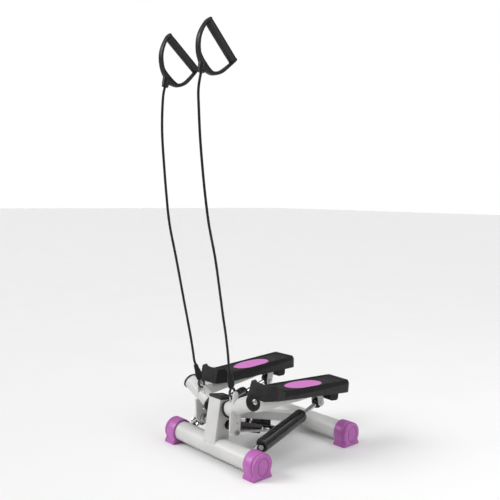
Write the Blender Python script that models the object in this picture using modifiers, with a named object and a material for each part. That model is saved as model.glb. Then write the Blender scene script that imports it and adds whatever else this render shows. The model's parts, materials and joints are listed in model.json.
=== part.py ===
"""Twist stepper with two resistance bands.

Metres, +Z up. +Y is the side the user stands on, +X is the user's left. The origin is on the
floor under the middle of the machine's bounding box. Shapes are written in a working frame whose
origin is on the floor under the front cross tube; the empty "stepper" moves that frame into place.
The pedals are modelled at the instant when the left one is a little down and the right one up.
"""

import math

import bmesh
import bpy
from mathutils import Matrix, Quaternion, Vector

# ---------------------------------------------------------------- driving dimensions (metres)
FRONT_TUBE_Y = -0.1309  # front cross tube in the finished frame
TUBE_SPACING = 0.372  # front to rear cross tube
BASE_WIDTH = 0.400
TUBE_RADIUS = 0.0285
TUBE_HEIGHT = 0.0365  # axis of the cross tubes above the floor
TUBE_WALL = 0.002
GAP = 0.0003  # between touching pieces

FOOT_LENGTH = 0.045  # along X
FOOT_HALF_BASE = 0.034
FOOT_WAIST = 0.0292
FOOT_RADIUS = 0.0345
FOOT_DEPTH = 0.036  # how far the tube goes in

POST_SIZE = 0.052
POST_LEAN = math.radians(9.5)
POST_LENGTH = 0.164
POST_WALL = 0.0022
POST_FOOT = Vector((0, -0.0043, 0.010))  # a point low on the post's centre line

PIVOT = Vector((0, 0.0178, 0.1312))  # where both pedal axles' lines meet
AXLE_TILT = math.radians(23.64)
FLANGE_START = 0.0398  # distances along the axle's line
SLEEVE_START = 0.0464
SLEEVE_END = 0.1480
SLEEVE_RADIUS = 0.0217
SLEEVE_BORE = 0.0190
AXLE_RADIUS = 0.0140
AXLE_END = 0.1432
REST_TILT = math.radians(2.48)  # left pedal down, right pedal up, from the level position

LEVER_X = 0.0776
LEVER_THICKNESS = 0.005
LEVER_BOLT = Vector((0.0690, 0.0135, 0.094))  # centre of the tie rod's eye
EYE_HINGE = Vector((0.0660, 0.0050, 0.1971))  # where the band's hook hangs in its wire eye

PEDAL_ORIGIN = Vector((0.1062, 0.0562, 0.1879))
PEDAL_YAW = math.radians(-1.85)
PEDAL_PITCH = math.radians(-2.88)
PEDAL_ROLL = math.radians(0.45)
PEDAL_LENGTH = 0.3385
PEDAL_HALF = 0.047
PEDAL_TOE_HALF = 0.036
PEDAL_TOE_LENGTH = 0.037
PEDAL_TOE_HEIGHT = 0.0425
PEDAL_TOE_RAKE = 0.010
PEDAL_DECK_HALF = 0.0400
PEDAL_DISH = 0.0040
LEAF_CENTRE = 0.182
LEAF_HALF_LENGTH = 0.0705
LEAF_HALF_WIDTH = 0.0350

CHANNEL_HALF = 0.025
CHANNEL_START = -0.021
CHANNEL_END = 0.322
SHEET = 0.002

CLEVIS = Vector((0.113, 0.307, 0.140))
CLEVIS_TILT = math.radians(12)
CLEVIS_GAP = 0.023  # between the two plates
CYLINDER_FOOT = Vector((0.140, 0.038, 0.060))
CYLINDER_RADIUS = 0.0202
CYLINDER_START = 0.0115  # distances from the lower pivot
CYLINDER_END = 0.200
CYLINDER_BORE = 0.0172
PISTON = 0.105
ROD_RADIUS = 0.0066

BEAM_HALF_WIDTH = 0.022
BEAM_DEPTH = 0.026
BEAM_SLOPE = math.radians(15.1)
BEAM_POINT = Vector((0, 0.194, 0.0867))  # on the beam's centre line

LINK_SLOPE = math.radians(18.3)  # the linkage's plane, falling to the rear
LINK_FRONT = Vector((0, 0.026, 0.0985))  # the linkage channel's bolt through the post
LINK_HALF_WIDTH = 0.0285
LINK_DEPTH = 0.027
ROCKER_CENTRE = Vector((0, 0.200, 0.050))
ROCKER_ARM = 0.030
KNOB_Y = 0.127

BAND_RADIUS = 0.0035
GRIP_RADIUS = 0.0115

WHITE = ("white_powder_coat", (0.80, 0.80, 0.79), 0.38, 0.0)
PURPLE = ("purple_plastic", (0.48, 0.13, 0.50), 0.42, 0.0)
PINK = ("pink_insert", (0.66, 0.20, 0.58), 0.50, 0.0)
BLACK = ("black_plastic", (0.020, 0.020, 0.022), 0.48, 0.0)
RUBBER = ("black_rubber", (0.015, 0.015, 0.015), 0.80, 0.0)
BLACK_PAINT = ("black_paint", (0.012, 0.012, 0.013), 0.22, 0.0)
CHROME = ("chrome", (0.80, 0.81, 0.82), 0.12, 1.0)
ZINC = ("zinc", (0.62, 0.63, 0.64), 0.34, 1.0)
STEEL = ("steel", (0.45, 0.45, 0.46), 0.38, 1.0)
WEBBING = ("black_webbing", (0.018, 0.018, 0.019), 0.85, 0.0)
LENS = ("display_lens", (0.055, 0.075, 0.068), 0.10, 0.0)
BOARD = ("circuit_board", (0.03, 0.22, 0.08), 0.50, 0.0)


# ---------------------------------------------------------------- helpers
def clear_scene():
    for obj in list(bpy.data.objects):
        bpy.data.objects.remove(obj)


def make_collection(name, helper=False):
    collection = bpy.data.collections.new(name)
    bpy.context.scene.collection.children.link(collection)
    collection.hide_render = helper
    return collection


def material(finish):
    name, colour, roughness, metallic = finish
    found = bpy.data.materials.get(name)
    if found:
        return found
    made = bpy.data.materials.new(name)
    made.use_nodes = True
    shader = made.node_tree.nodes["Principled BSDF"]
    shader.inputs["Base Color"].default_value = (*colour, 1)
    shader.inputs["Roughness"].default_value = roughness
    shader.inputs["Metallic"].default_value = metallic
    made.diffuse_color = (*colour, 1)
    return made


def link(data, name="piece"):
    obj = bpy.data.objects.new(name, data)
    PARTS.objects.link(obj)
    return obj


def from_bmesh(bm):
    mesh = bpy.data.meshes.new("piece")
    bmesh.ops.recalc_face_normals(bm, faces=bm.faces)
    bm.to_mesh(mesh)
    bm.free()
    return link(mesh)


def box(size, centre=(0, 0, 0), bevel=0.0):
    bm = bmesh.new()
    bmesh.ops.create_cube(bm, size=1)
    bmesh.ops.scale(bm, vec=size, verts=bm.verts)
    bmesh.ops.translate(bm, vec=centre, verts=bm.verts)
    if bevel:
        bmesh.ops.bevel(bm, geom=bm.edges[:], offset=bevel, segments=2, affect="EDGES", profile=0.5)
    return from_bmesh(bm)


def aimed(start, direction):
    """The matrix that takes +Z to the direction and the origin to the start."""
    turn = Vector((0, 0, 1)).rotation_difference(Vector(direction))
    return Matrix.Translation(start) @ turn.to_matrix().to_4x4()


def rod(start, end, radius, sides=24, tip_radius=None):
    start = Vector(start)
    run = Vector(end) - start
    bm = bmesh.new()
    bmesh.ops.create_cone(
        bm,
        cap_ends=True,
        segments=sides,
        radius1=radius,
        radius2=radius if tip_radius is None else tip_radius,
        depth=run.length,
    )
    bmesh.ops.translate(bm, vec=(0, 0, run.length / 2), verts=bm.verts)
    bmesh.ops.transform(bm, matrix=aimed(start, run), verts=bm.verts)
    return from_bmesh(bm)


def bake(obj):
    """The object as a plain welded mesh, with its modifiers applied and its matrix in the points."""
    bpy.context.view_layer.update()
    graph = bpy.context.evaluated_depsgraph_get()
    mesh = bpy.data.meshes.new_from_object(obj.evaluated_get(graph))
    mesh.transform(obj.matrix_world)
    bm = bmesh.new()
    bm.from_mesh(mesh)
    bmesh.ops.remove_doubles(bm, verts=bm.verts, dist=1e-6)
    bmesh.ops.recalc_face_normals(bm, faces=bm.faces)
    bm.to_mesh(mesh)
    bm.free()
    bpy.data.objects.remove(obj)
    return link(mesh)


def turned(profile, start=(0, 0, 0), direction=(0, 0, 1), sides=32):
    """A profile of (radius, height) points, outer side top to bottom, turned about the direction."""
    bm = bmesh.new()
    points = [bm.verts.new((radius, 0, height)) for radius, height in profile]
    for a, b in zip(points, points[1:]):
        bm.edges.new((a, b))
    mesh = bpy.data.meshes.new("profile")
    bm.to_mesh(mesh)
    bm.free()
    obj = link(mesh)
    screw = obj.modifiers.new("Turn", "SCREW")
    screw.steps = sides
    screw.render_steps = sides
    screw.use_merge_vertices = True
    screw.merge_threshold = 0.00001
    obj.matrix_world = aimed(start, direction)
    return bake(obj)


def ring(inner, outer, bottom, top, start=(0, 0, 0), direction=(0, 0, 1), sides=32):
    """A plain tube, turned."""
    profile = [(inner, top), (outer, top), (outer, bottom), (inner, bottom), (inner, top)]
    return turned(profile, start, direction, sides)


def plate(outline, thickness, holes=()):
    """A flat closed outline in XY, with holes, extruded up and down by half the thickness."""
    curve = bpy.data.curves.new("outline", "CURVE")
    curve.dimensions = "2D"
    curve.fill_mode = "BOTH"
    curve.extrude = thickness / 2
    for points in (outline, *holes):
        spline = curve.splines.new("POLY")
        spline.points.add(len(points) - 1)
        for point, (x, y) in zip(spline.points, points):
            point.co = (x, y, 0, 1)
        spline.use_cyclic_u = True
    return bake(link(curve))


def moved(obj, matrix):
    obj.data.transform(matrix)
    return obj


def facing_x(obj, x):
    """A plate drawn in XY becomes one in YZ at this X."""
    turn = Matrix(((0, 0, 1, x), (1, 0, 0, 0), (0, 1, 0, 0), (0, 0, 0, 1)))
    return moved(obj, turn)


def arc(centre, radius, start, end, steps):
    """Points along an arc, in degrees."""
    angles = [math.radians(start + (end - start) * i / steps) for i in range(steps + 1)]
    return [(centre[0] + radius * math.cos(a), centre[1] + radius * math.sin(a)) for a in angles]


def smooth_path(route, spacing):
    """Points at an even spacing along a Catmull-Rom curve through the route."""
    ends = [route[0] * 2 - route[1], *route, route[-1] * 2 - route[-2]]
    fine = []
    for a, b, c, d in zip(ends, ends[1:], ends[2:], ends[3:]):
        for i in range(20):
            t = i / 20
            fine.append(
                0.5
                * (
                    2 * b
                    + (c - a) * t
                    + (2 * a - 5 * b + 4 * c - d) * t**2
                    + (3 * b - a - 3 * c + d) * t**3
                )
            )
    fine.append(route[-1])
    length = sum((q - p).length for p, q in zip(fine, fine[1:]))
    count = max(2, round(length / spacing))
    points = [fine[0]]
    walked = 0.0
    for p, q in zip(fine, fine[1:]):
        step = (q - p).length
        while walked + step >= length * len(points) / count - 1e-9 and len(points) < count:
            points.append(p.lerp(q, (length * len(points) / count - walked) / step))
        walked += step
    points.append(fine[-1])
    return points


def wire(points, radius, resolution=2, closed=False):
    curve = bpy.data.curves.new("wire", "CURVE")
    curve.dimensions = "3D"
    curve.bevel_depth = radius
    curve.bevel_resolution = resolution
    curve.use_fill_caps = not closed
    spline = curve.splines.new("POLY")
    spline.points.add(len(points) - 1)
    for point, place in zip(spline.points, points):
        point.co = (*place, 1)
    spline.use_cyclic_u = closed
    return bake(link(curve))


def boolean(obj, operation, others):
    for other in others:
        modifier = obj.modifiers.new(operation, "BOOLEAN")
        modifier.operation = operation
        modifier.object = other
        modifier.solver = "EXACT"
    result = bake(obj)
    for other in others:
        bpy.data.objects.remove(other)
    return result


def cut(obj, *others):
    return boolean(obj, "DIFFERENCE", others)


def joined(obj, *others):
    return boolean(obj, "UNION", others)


def mirrored(obj, side):
    """The right-hand twin of a shape drawn for the left side."""
    if side < 0:
        obj.data.transform(Matrix.Scale(-1, 4, (1, 0, 0)))
        obj.data.flip_normals()
    return obj


def finish(obj, name, parent, finish_of):
    obj.name = name
    obj.data.name = name
    obj.parent = parent
    obj.data.materials.clear()
    obj.data.materials.append(material(finish_of))
    obj.data.shade_smooth()
    obj.data.set_sharp_from_angle(angle=math.radians(32))
    return obj


def make_empty(name, parent, place, turn=None):
    empty = bpy.data.objects.new(name, None)
    PARTS.objects.link(empty)
    empty.parent = parent
    empty.rotation_mode = "QUATERNION"
    empty.location = place
    empty.rotation_quaternion = turn or Quaternion()
    return empty


def side_name(side):
    return "left" if side > 0 else "right"


def axle_direction(side):
    """Out along the axle from the post."""
    return Vector((side * math.cos(AXLE_TILT), 0, math.sin(AXLE_TILT)))


def hinge_axis(side):
    """The axle's line pointing to +X on both sides, so that a positive turn lifts the pedal's rear."""
    return axle_direction(side) * side


def rest_turn(side):
    return Quaternion(hinge_axis(side), -side * REST_TILT)


def at_rest(point, side):
    """Where a point of the level left arm is on this side's arm at rest."""
    place = Vector((point.x * side, point.y, point.z))
    return PIVOT + rest_turn(side) @ (place - PIVOT)


# ---------------------------------------------------------------- base
def cross_tube(name, y, lugs):
    half = BASE_WIDTH / 2 - FOOT_LENGTH + FOOT_DEPTH
    ends = Vector((-half, y, TUBE_HEIGHT)), Vector((half, y, TUBE_HEIGHT))
    tube = rod(*ends, TUBE_RADIUS, 40)
    if lugs:
        tube = joined(tube, cylinder_lug(1), cylinder_lug(-1))
    reach = Vector((0.01, 0, 0))
    tube = cut(tube, rod(ends[0] - reach, ends[1] + reach, TUBE_RADIUS - TUBE_WALL, 40))
    return finish(tube, name, ROOT, WHITE)


def cylinder_lug(side):
    """A plate welded to the back of the front tube, with the cylinder's pivot hole."""
    eye = 0.0085
    outline = arc((0, 0), eye, -90, 90, 10) + [(-0.025, eye), (-0.025, -eye)]
    axis = hinge_axis(side)
    foot = Vector((CYLINDER_FOOT.x * side, CYLINDER_FOOT.y, CYLINDER_FOOT.z))
    away = Vector((0, CYLINDER_FOOT.y, CYLINDER_FOOT.z - TUBE_HEIGHT))
    across = (away - axis * away.dot(axis)).normalized()
    turn = Matrix((across, axis.cross(across), axis)).transposed().to_4x4()
    hole = arc((0, 0), 0.0044, 0, 330, 11)
    return moved(plate(outline, 0.007, (hole,)), Matrix.Translation(foot) @ turn)


def foot_outline():
    lower = math.degrees(math.asin(0.0125 / FOOT_RADIUS))
    cap = arc((0, TUBE_HEIGHT), FOOT_RADIUS, -lower, 180 + lower, 28)
    left = [(-FOOT_WAIST, 0.0165), (-0.0302, 0.0110), (-FOOT_HALF_BASE, 0.0045), (-FOOT_HALF_BASE, 0)]
    return cap + left + [(-x, z) for x, z in reversed(left)]


def foot(name, side, y):
    """A moulded end cap that grips the tube and stands on the floor, drawn with its open end at X 0."""
    body = facing_x(plate(foot_outline(), FOOT_LENGTH), FOOT_LENGTH / 2)
    socket = rod((-0.01, 0, TUBE_HEIGHT), (FOOT_DEPTH + GAP, 0, TUBE_HEIGHT), TUBE_RADIUS + GAP, 40)
    face = (FOOT_LENGTH, 0, TUBE_HEIGHT - 0.003)
    groove = ring(0.0165, 0.0190, -0.0015, 0.01, face, (1, 0, 0), 36)
    body = cut(body, socket, groove)
    mirrored(body, side)
    moved(body, Matrix.Translation((side * (BASE_WIDTH / 2 - FOOT_LENGTH), y, 0)))
    return finish(body, name, ROOT, PURPLE)


def post_frame():
    lean = Matrix.Rotation(-POST_LEAN, 4, "X")
    return Matrix.Translation(POST_FOOT) @ lean


def front_post():
    height = POST_LENGTH
    shell = box((POST_SIZE, POST_SIZE, height), (0, 0, height / 2), 0.0035)
    inner = POST_SIZE - 2 * POST_WALL
    hollow = box((inner, inner, height + 0.02), (0, 0, height / 2))
    body = moved(cut(shell, hollow), post_frame())
    tube = rod((-0.1, 0, TUBE_HEIGHT), (0.1, 0, TUBE_HEIGHT), TUBE_RADIUS + GAP, 40)
    bolt_hole = rod((-0.05, *LINK_FRONT.yz), (0.05, *LINK_FRONT.yz), 0.0053, 16)
    below = box((0.1, 0.1, 0.05), (0, 0, TUBE_HEIGHT - 0.025))
    return finish(cut(body, tube, bolt_hole, below), "front_post", ROOT, WHITE)


def beam_frame():
    return Matrix.Translation(BEAM_POINT) @ Matrix.Rotation(-BEAM_SLOPE, 4, "X")


def centre_beam():
    """A box section from the post's back down to the rear tube."""
    beam = box((2 * BEAM_HALF_WIDTH, 0.36, BEAM_DEPTH), (0, -0.005, 0), 0.003)
    hollow_size = (2 * BEAM_HALF_WIDTH - 0.004, 0.40, BEAM_DEPTH - 0.004)
    beam = moved(cut(beam, box(hollow_size)), beam_frame())
    post = moved(box((0.08, POST_SIZE + 2 * GAP, 0.40), (0, 0, 0.1)), post_frame())
    tube = rod((-0.1, TUBE_SPACING, TUBE_HEIGHT), (0.1, TUBE_SPACING, TUBE_HEIGHT), TUBE_RADIUS + GAP, 40)
    ahead = moved(box((0.1, 0.2, 0.4), (0, -0.1 - POST_SIZE / 2 + 0.01, 0.1)), post_frame())
    behind = box((0.1, 0.2, 0.2), (0, TUBE_SPACING + 0.1, TUBE_HEIGHT))
    screw_hole = rod((0, KNOB_Y, 0.03), (0, KNOB_Y, 0.2), 0.0055, 16)
    return finish(cut(beam, post, tube, ahead, behind, screw_hole), "centre_beam", ROOT, WHITE)


# ---------------------------------------------------------------- step counter
def counter():
    """The counter closes the post's top: housing with a plug, lens, button and board."""
    top = post_frame() @ Matrix.Translation((0, 0, POST_LENGTH + GAP))
    plug_size = POST_SIZE - 2 * POST_WALL - 2 * GAP
    lid = box((0.0535, 0.0535, 0.0070), (0, 0, 0.0035), 0.0022)
    plug = box((plug_size, plug_size, 0.016), (0, 0, -0.0070))
    room = box((0.040, 0.040, 0.030), (0, 0, -0.0125))
    window = [(0.0155 * math.cos(a), 0.0110 * math.sin(a) - 0.006) for a in circle(28)]
    seat = moved(plate(window, 0.003), Matrix.Translation((0, 0, 0.0070)))
    view = [(0.0125 * math.cos(a), 0.0085 * math.sin(a) - 0.006) for a in circle(28)]
    opening = plate(view, 0.03)
    key_hole = rod((0, 0.0145, -0.01), (0, 0.0145, 0.02), 0.0046, 20)
    housing = cut(joined(lid, plug), room, seat, opening, key_hole)
    finish(moved(housing, top), "counter_housing", ROOT, BLACK)

    glass = [(0.0152 * math.cos(a), 0.0107 * math.sin(a) - 0.006) for a in circle(28)]
    lens = moved(plate(glass, 0.0014), top @ Matrix.Translation((0, 0, 0.0066)))
    finish(lens, "counter_window", ROOT, LENS)

    board = box((0.037, 0.037, 0.0016), (0, 0, -0.0060))
    display = box((0.024, 0.016, 0.0040), (0, -0.006, -0.0035))
    switch = rod((0, 0.0145, -0.0060), (0, 0.0145, -0.0020), 0.0030, 16)
    finish(moved(joined(board, display, switch), top), "counter_board", ROOT, BOARD)

    key_place = top @ Vector((0, 0.0145, 0.0070))
    empty = make_empty("counter_button_axis", ROOT, key_place, top.to_quaternion())
    key_profile = [(0, 0.0012), (0.0030, 0.0012), (0.0042, 0.0004), (0.0042, -0.0080), (0, -0.0080)]
    key = turned(key_profile, sides=20)
    finish(key, "counter_button", empty, BLACK)


def circle(steps):
    return [2 * math.pi * i / steps for i in range(steps)]


# ---------------------------------------------------------------- pedal arms
def axle(side):
    d = axle_direction(side)
    post_side = POST_SIZE / 2 + GAP
    stub = rod(PIVOT + d * 0.012, PIVOT + d * AXLE_END, AXLE_RADIUS)
    post = box((2 * post_side, 0.2, 0.3), (0, 0, 0.13))
    thread = rod(PIVOT + d * (AXLE_END - 0.026), PIVOT + d * (AXLE_END + 0.01), 0.0053, 16)
    finish(cut(stub, post, thread), f"{side_name(side)}_pivot_axle", ROOT, STEEL)

    head = SLEEVE_END + 0.0056
    dome = [(0, 0.0070), (0.0050, 0.0068), (0.0078, 0.0052), (0.0085, 0.0)]
    profile = dome + [(0.0050, 0.0), (0.0050, -0.028), (0, -0.028)]
    bolt = turned(profile, PIVOT + d * head, d, 24)
    finish(bolt, f"{side_name(side)}_axle_bolt", ROOT, ZINC)


def sleeve_weldment(side, arm):
    """Sleeve, lever plate, hook tab and wire eye, welded into one piece."""
    d = axle_direction(1)
    sleeve = rod(PIVOT + d * SLEEVE_START, PIVOT + d * SLEEVE_END, SLEEVE_RADIUS, 32)
    toe = arc((0.0110, 0.0975), 0.0175, 205, 335, 8)
    lever_outline = [(-0.011, 0.155), (-0.011, 0.100), *toe, (0.027, 0.102), (0.027, 0.155)]
    bolt_hole = arc((LEVER_BOLT.y, LEVER_BOLT.z), 0.0044, 0, 330, 11)
    spare_hole = arc((0.0152, 0.1206), 0.0034, 0, 330, 11)
    lever = facing_x(plate(lever_outline, LEVER_THICKNESS, (bolt_hole, spare_hole)), LEVER_X)
    tab_outline = [(-0.003, 0.170), *reversed(arc((0.0055, 0.2010), 0.0085, 0, 180, 8)), (0.014, 0.170)]
    tab = facing_x(plate(tab_outline, LEVER_THICKNESS), LEVER_X)
    eye_route = [
        Vector((0.0775, 0.005, 0.1970)),
        Vector((0.0680, 0.005, 0.1972)),
        Vector((0.0615, 0.005, 0.1966)),
        Vector((0.0570, 0.005, 0.1932)),
        Vector((0.0560, 0.005, 0.1870)),
        Vector((0.0572, 0.005, 0.1740)),
    ]
    eye = wire(smooth_path(eye_route, 0.004), 0.0020, 2)
    body = joined(sleeve, lever, tab, eye)
    bore = rod(PIVOT + d * 0.02, PIVOT + d * 0.18, SLEEVE_BORE, 32)
    body = moved(cut(body, bore), Matrix.Translation(-PIVOT))
    finish(mirrored(body, side), f"{side_name(side)}_sleeve", arm, WHITE)


def bushes(side, arm):
    """The flanged bush next to the post, and the one whose ringed flange caps the outer end."""
    d = axle_direction(side)
    inside, outside = AXLE_RADIUS + GAP, SLEEVE_BORE - GAP
    flange = SLEEVE_START - GAP - FLANGE_START
    inner = [
        (inside, 0.0200),
        (outside, 0.0200),
        (outside, flange),
        (0.0250, flange),
        (0.0250, 0.0),
        (inside, 0.0),
        (inside, 0.0200),
    ]
    finish(turned(inner, d * FLANGE_START, d, 28), f"{side_name(side)}_inner_bush", arm, BLACK)
    flange = 0.0050
    outer = [(0.0056, flange)]
    for step in range(3):
        edge = 0.0100 + 0.0044 * step
        outer += [(edge, flange), (edge + 0.0006, flange - 0.0007), (edge + 0.0016, flange)]
    outer += [
        (0.0228, flange),
        (0.0238, flange - 0.0012),
        (0.0238, 0.0),
        (outside, 0.0),
        (outside, -0.0240),
        (inside, -0.0240),
        (inside, -0.0040),
        (0.0056, -0.0040),
        (0.0056, flange),
    ]
    bush = turned(outer, d * (SLEEVE_END + GAP), d, 28)
    finish(bush, f"{side_name(side)}_outer_bush", arm, BLACK)


def lever_bolt(side, arm):
    """Bolt of the tie rod: hexagon head outside the lever, shank through the rod's eye, nut inside."""
    outside = LEVER_X + LEVER_THICKNESS / 2 + GAP
    y, z = LEVER_BOLT.y, LEVER_BOLT.z
    head = rod((outside, y, z), (outside + 0.0055, y, z), 0.0072, 6)
    shank = rod((0.0575, y, z), (outside + 0.001, y, z), 0.0040, 16)
    nut = rod((0.0575, y, z), (0.0630, y, z), 0.0072, 6)
    body = moved(joined(head, shank, nut), Matrix.Translation(-PIVOT))
    finish(mirrored(body, side), f"{side_name(side)}_lever_bolt", arm, ZINC)


def pedal_frame():
    turn = (
        Matrix.Rotation(PEDAL_YAW, 4, "Z")
        @ Matrix.Rotation(PEDAL_PITCH, 4, "X")
        @ Matrix.Rotation(PEDAL_ROLL, 4, "Y")
    )
    return Matrix.Translation(PEDAL_ORIGIN - PIVOT) @ turn


def edge_height(v):
    """Height of the tread's raised edge above the pedal's bottom."""
    return 0.0255 + 0.0118 * max(0.0, v - 0.062) / (PEDAL_LENGTH - 0.062)


def side_height(v):
    """Where the upright side ends and its bevel to the tread begins."""
    return 0.0090 + 0.0198 * (v / PEDAL_LENGTH) ** 1.85


def half_width(v):
    t = min(v / PEDAL_TOE_LENGTH, 1.0)
    heel = max(0.0, v - (PEDAL_LENGTH - 0.012)) / 0.012
    rounding = 0.008 * (1 - math.sqrt(1 - min(heel, 1.0) ** 2))
    return PEDAL_TOE_HALF + (PEDAL_HALF - PEDAL_TOE_HALF) * t - rounding


def pedal_loft():
    """Cross-sections along the pedal: upright sides, bevels to a raised edge, a dished tread."""
    heel = PEDAL_LENGTH
    stations = [0.0, PEDAL_TOE_LENGTH, 0.075, 0.12, 0.18, 0.24, 0.29]
    stations += [heel - 0.022, heel - 0.011, heel - 0.004, heel]
    bm = bmesh.new()
    rings = []
    for v in stations:
        w = half_width(v)
        edge = w * PEDAL_DECK_HALF / PEDAL_HALF
        tread = edge - 0.003
        high = edge_height(v) - (0.0030 if v == heel else 0)
        low = side_height(v)
        dish = PEDAL_DISH * min(1.0, max(0.0, (heel - 0.011 - v) / 0.011))
        half = [(w, 0), (w, low), (edge, high), (tread, high - dish)]
        section = half + [(-u, z) for u, z in reversed(half)]
        rings.append([bm.verts.new((u, v, z)) for u, z in section])
    for a, b in zip(rings, rings[1:]):
        for i in range(len(a)):
            j = (i + 1) % len(a)
            bm.faces.new((a[i], a[j], b[j], b[i]))
    bm.faces.new(rings[0])
    bm.faces.new(rings[-1])
    return from_bmesh(bm)


def toe_wall():
    """The upstand round the toe, with wings that sweep down to the tread."""
    reach = 0.068
    outer = [(PEDAL_HALF, reach), (PEDAL_HALF, PEDAL_TOE_LENGTH), (PEDAL_TOE_HALF, 0.0)]
    wall = 0.0055
    inner = [(u - wall, max(v, wall)) for u, v in outer]
    inner[0] = (PEDAL_HALF - wall, reach)
    outline = outer + [(-u, v) for u, v in reversed(outer)]
    outline += [(-u, v) for u, v in inner] + list(reversed(inner))
    body = plate(outline, PEDAL_TOE_HEIGHT)
    moved(body, Matrix.Translation((0, 0, PEDAL_TOE_HEIGHT / 2)))
    sweep = [(0.024, 0.06), (0.024, PEDAL_TOE_HEIGHT)]
    for i in range(1, 9):
        t = i / 8
        sweep.append((0.024 + 0.048 * t, PEDAL_TOE_HEIGHT - 0.0185 * (1 - (1 - t) ** 2)))
    sweep += [(0.09, 0.022), (0.09, 0.06)]
    return cut(body, facing_x(plate(sweep, 0.12), 0))


def pedal(side, arm):
    body = joined(pedal_loft(), toe_wall())
    for vertex in body.data.vertices:
        fade = max(0.0, 1 - vertex.co.y / 0.05)
        vertex.co.y += vertex.co.z * PEDAL_TOE_RAKE / PEDAL_TOE_HEIGHT * fade
    pocket = box((2 * PEDAL_HALF - 0.008, PEDAL_LENGTH - 0.05, 0.02), (0, PEDAL_LENGTH / 2 + 0.006, 0.004))
    recess = moved(plate(leaf(GAP), 0.01), leaf_frame())
    body = cut(body, pocket, recess)
    moved(body, pedal_frame())
    finish(mirrored(body, side), f"{side_name(side)}_pedal", arm, BLACK)
    insert = moved(plate(leaf(0), 0.0030), leaf_frame() @ Matrix.Translation((0, 0, -0.0032)))
    moved(insert, pedal_frame())
    finish(mirrored(insert, side), f"{side_name(side)}_pedal_insert", arm, PINK)


def leaf(margin):
    points = []
    for a in circle(36):
        c, s = math.cos(a), math.sin(a)
        points.append((c * (LEAF_HALF_WIDTH + margin), s * (LEAF_HALF_LENGTH + margin)))
    return points


def leaf_frame():
    """On the tread at the leaf's centre, tilted with it; the recess's floor is 5 mm down."""
    front, rear = LEAF_CENTRE - 0.05, LEAF_CENTRE + 0.05
    slope = math.atan2(edge_height(rear) - edge_height(front), rear - front)
    height = (edge_height(front) + edge_height(rear)) / 2 - PEDAL_DISH
    place = Matrix.Translation((0, LEAF_CENTRE, height + 0.0020))
    return place @ Matrix.Rotation(slope, 4, "X")


def support_channel(side, arm):
    """Sheet-steel channel, open below, from the sleeve to the heel, with the clevis welded in."""
    depths = [(CHANNEL_START, 0.030), (0.012, 0.029), (0.045, 0.025), (0.100, 0.019)]
    depths += [(0.150, 0.013), (0.190, 0.0075), (CHANNEL_END, 0.0065)]
    profile = [(v, -GAP - depth) for v, depth in depths]
    profile += [(CHANNEL_END, -GAP), (CHANNEL_START, -GAP)]
    body = facing_x(plate(profile, 2 * CHANNEL_HALF), 0)
    room = box((2 * (CHANNEL_HALF - SHEET), 0.4, 0.06), (0, 0.15, -GAP - SHEET - 0.03))
    body = moved(cut(body, room), pedal_frame())
    tilt = Matrix.Translation(CLEVIS - PIVOT) @ Matrix.Rotation(-CLEVIS_TILT, 4, "Y")
    for place in (-1, 1):
        outline = arc((0, 0), 0.011, 180, 360, 10) + [(0.011, 0.045), (-0.011, 0.045)]
        hole = arc((0, 0), 0.0044, 0, 330, 11)
        x = place * (CLEVIS_GAP + 0.003) / 2
        cheek = moved(facing_x(plate(outline, 0.003, (hole,)), x), tilt)
        body = joined(body, cheek)
    above = moved(box((0.2, 0.5, 0.1), (0, 0.15, 0.05 - GAP)), pedal_frame())
    d = axle_direction(1)
    sleeve = rod(d * 0.0, d * 0.25, SLEEVE_RADIUS + GAP, 32)
    lever_room = box((0.0062, 0.042, 0.12), (LEVER_X, 0.0085 - PIVOT.y, 0.13 - PIVOT.z))
    body = cut(body, above, sleeve, lever_room)
    finish(mirrored(body, side), f"{side_name(side)}_support_channel", arm, WHITE)


def clevis_bolt(side, arm):
    frame = Matrix.Translation(CLEVIS - PIVOT) @ Matrix.Rotation(-CLEVIS_TILT, 4, "Y")
    outer = CLEVIS_GAP / 2 + 0.003 + GAP
    shank = rod((-outer - 0.001, 0, 0), (outer + 0.001, 0, 0), 0.0040, 16)
    head = rod((outer, 0, 0), (outer + 0.0050, 0, 0), 0.0068, 20)
    nut = rod((-outer - 0.0055, 0, 0), (-outer, 0, 0), 0.0068, 6)
    body = moved(joined(shank, head, nut), frame)
    finish(mirrored(body, side), f"{side_name(side)}_clevis_bolt", arm, ZINC)


def bumper(side, arm):
    """The rubber stop under the heel that meets the rear tube."""
    outline = [(0.284, 0.0), (0.286, -0.016), *arc((0.294, -0.0185), 0.008, 180, 270, 5)]
    outline += [*arc((0.312, -0.0185), 0.008, 270, 360, 5), (0.321, 0.0)]
    body = facing_x(plate(outline, 0.038), 0)
    moved(body, pedal_frame() @ Matrix.Translation((0, 0, -SHEET - 2 * GAP)))
    finish(mirrored(body, side), f"{side_name(side)}_bumper", arm, RUBBER)


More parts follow.
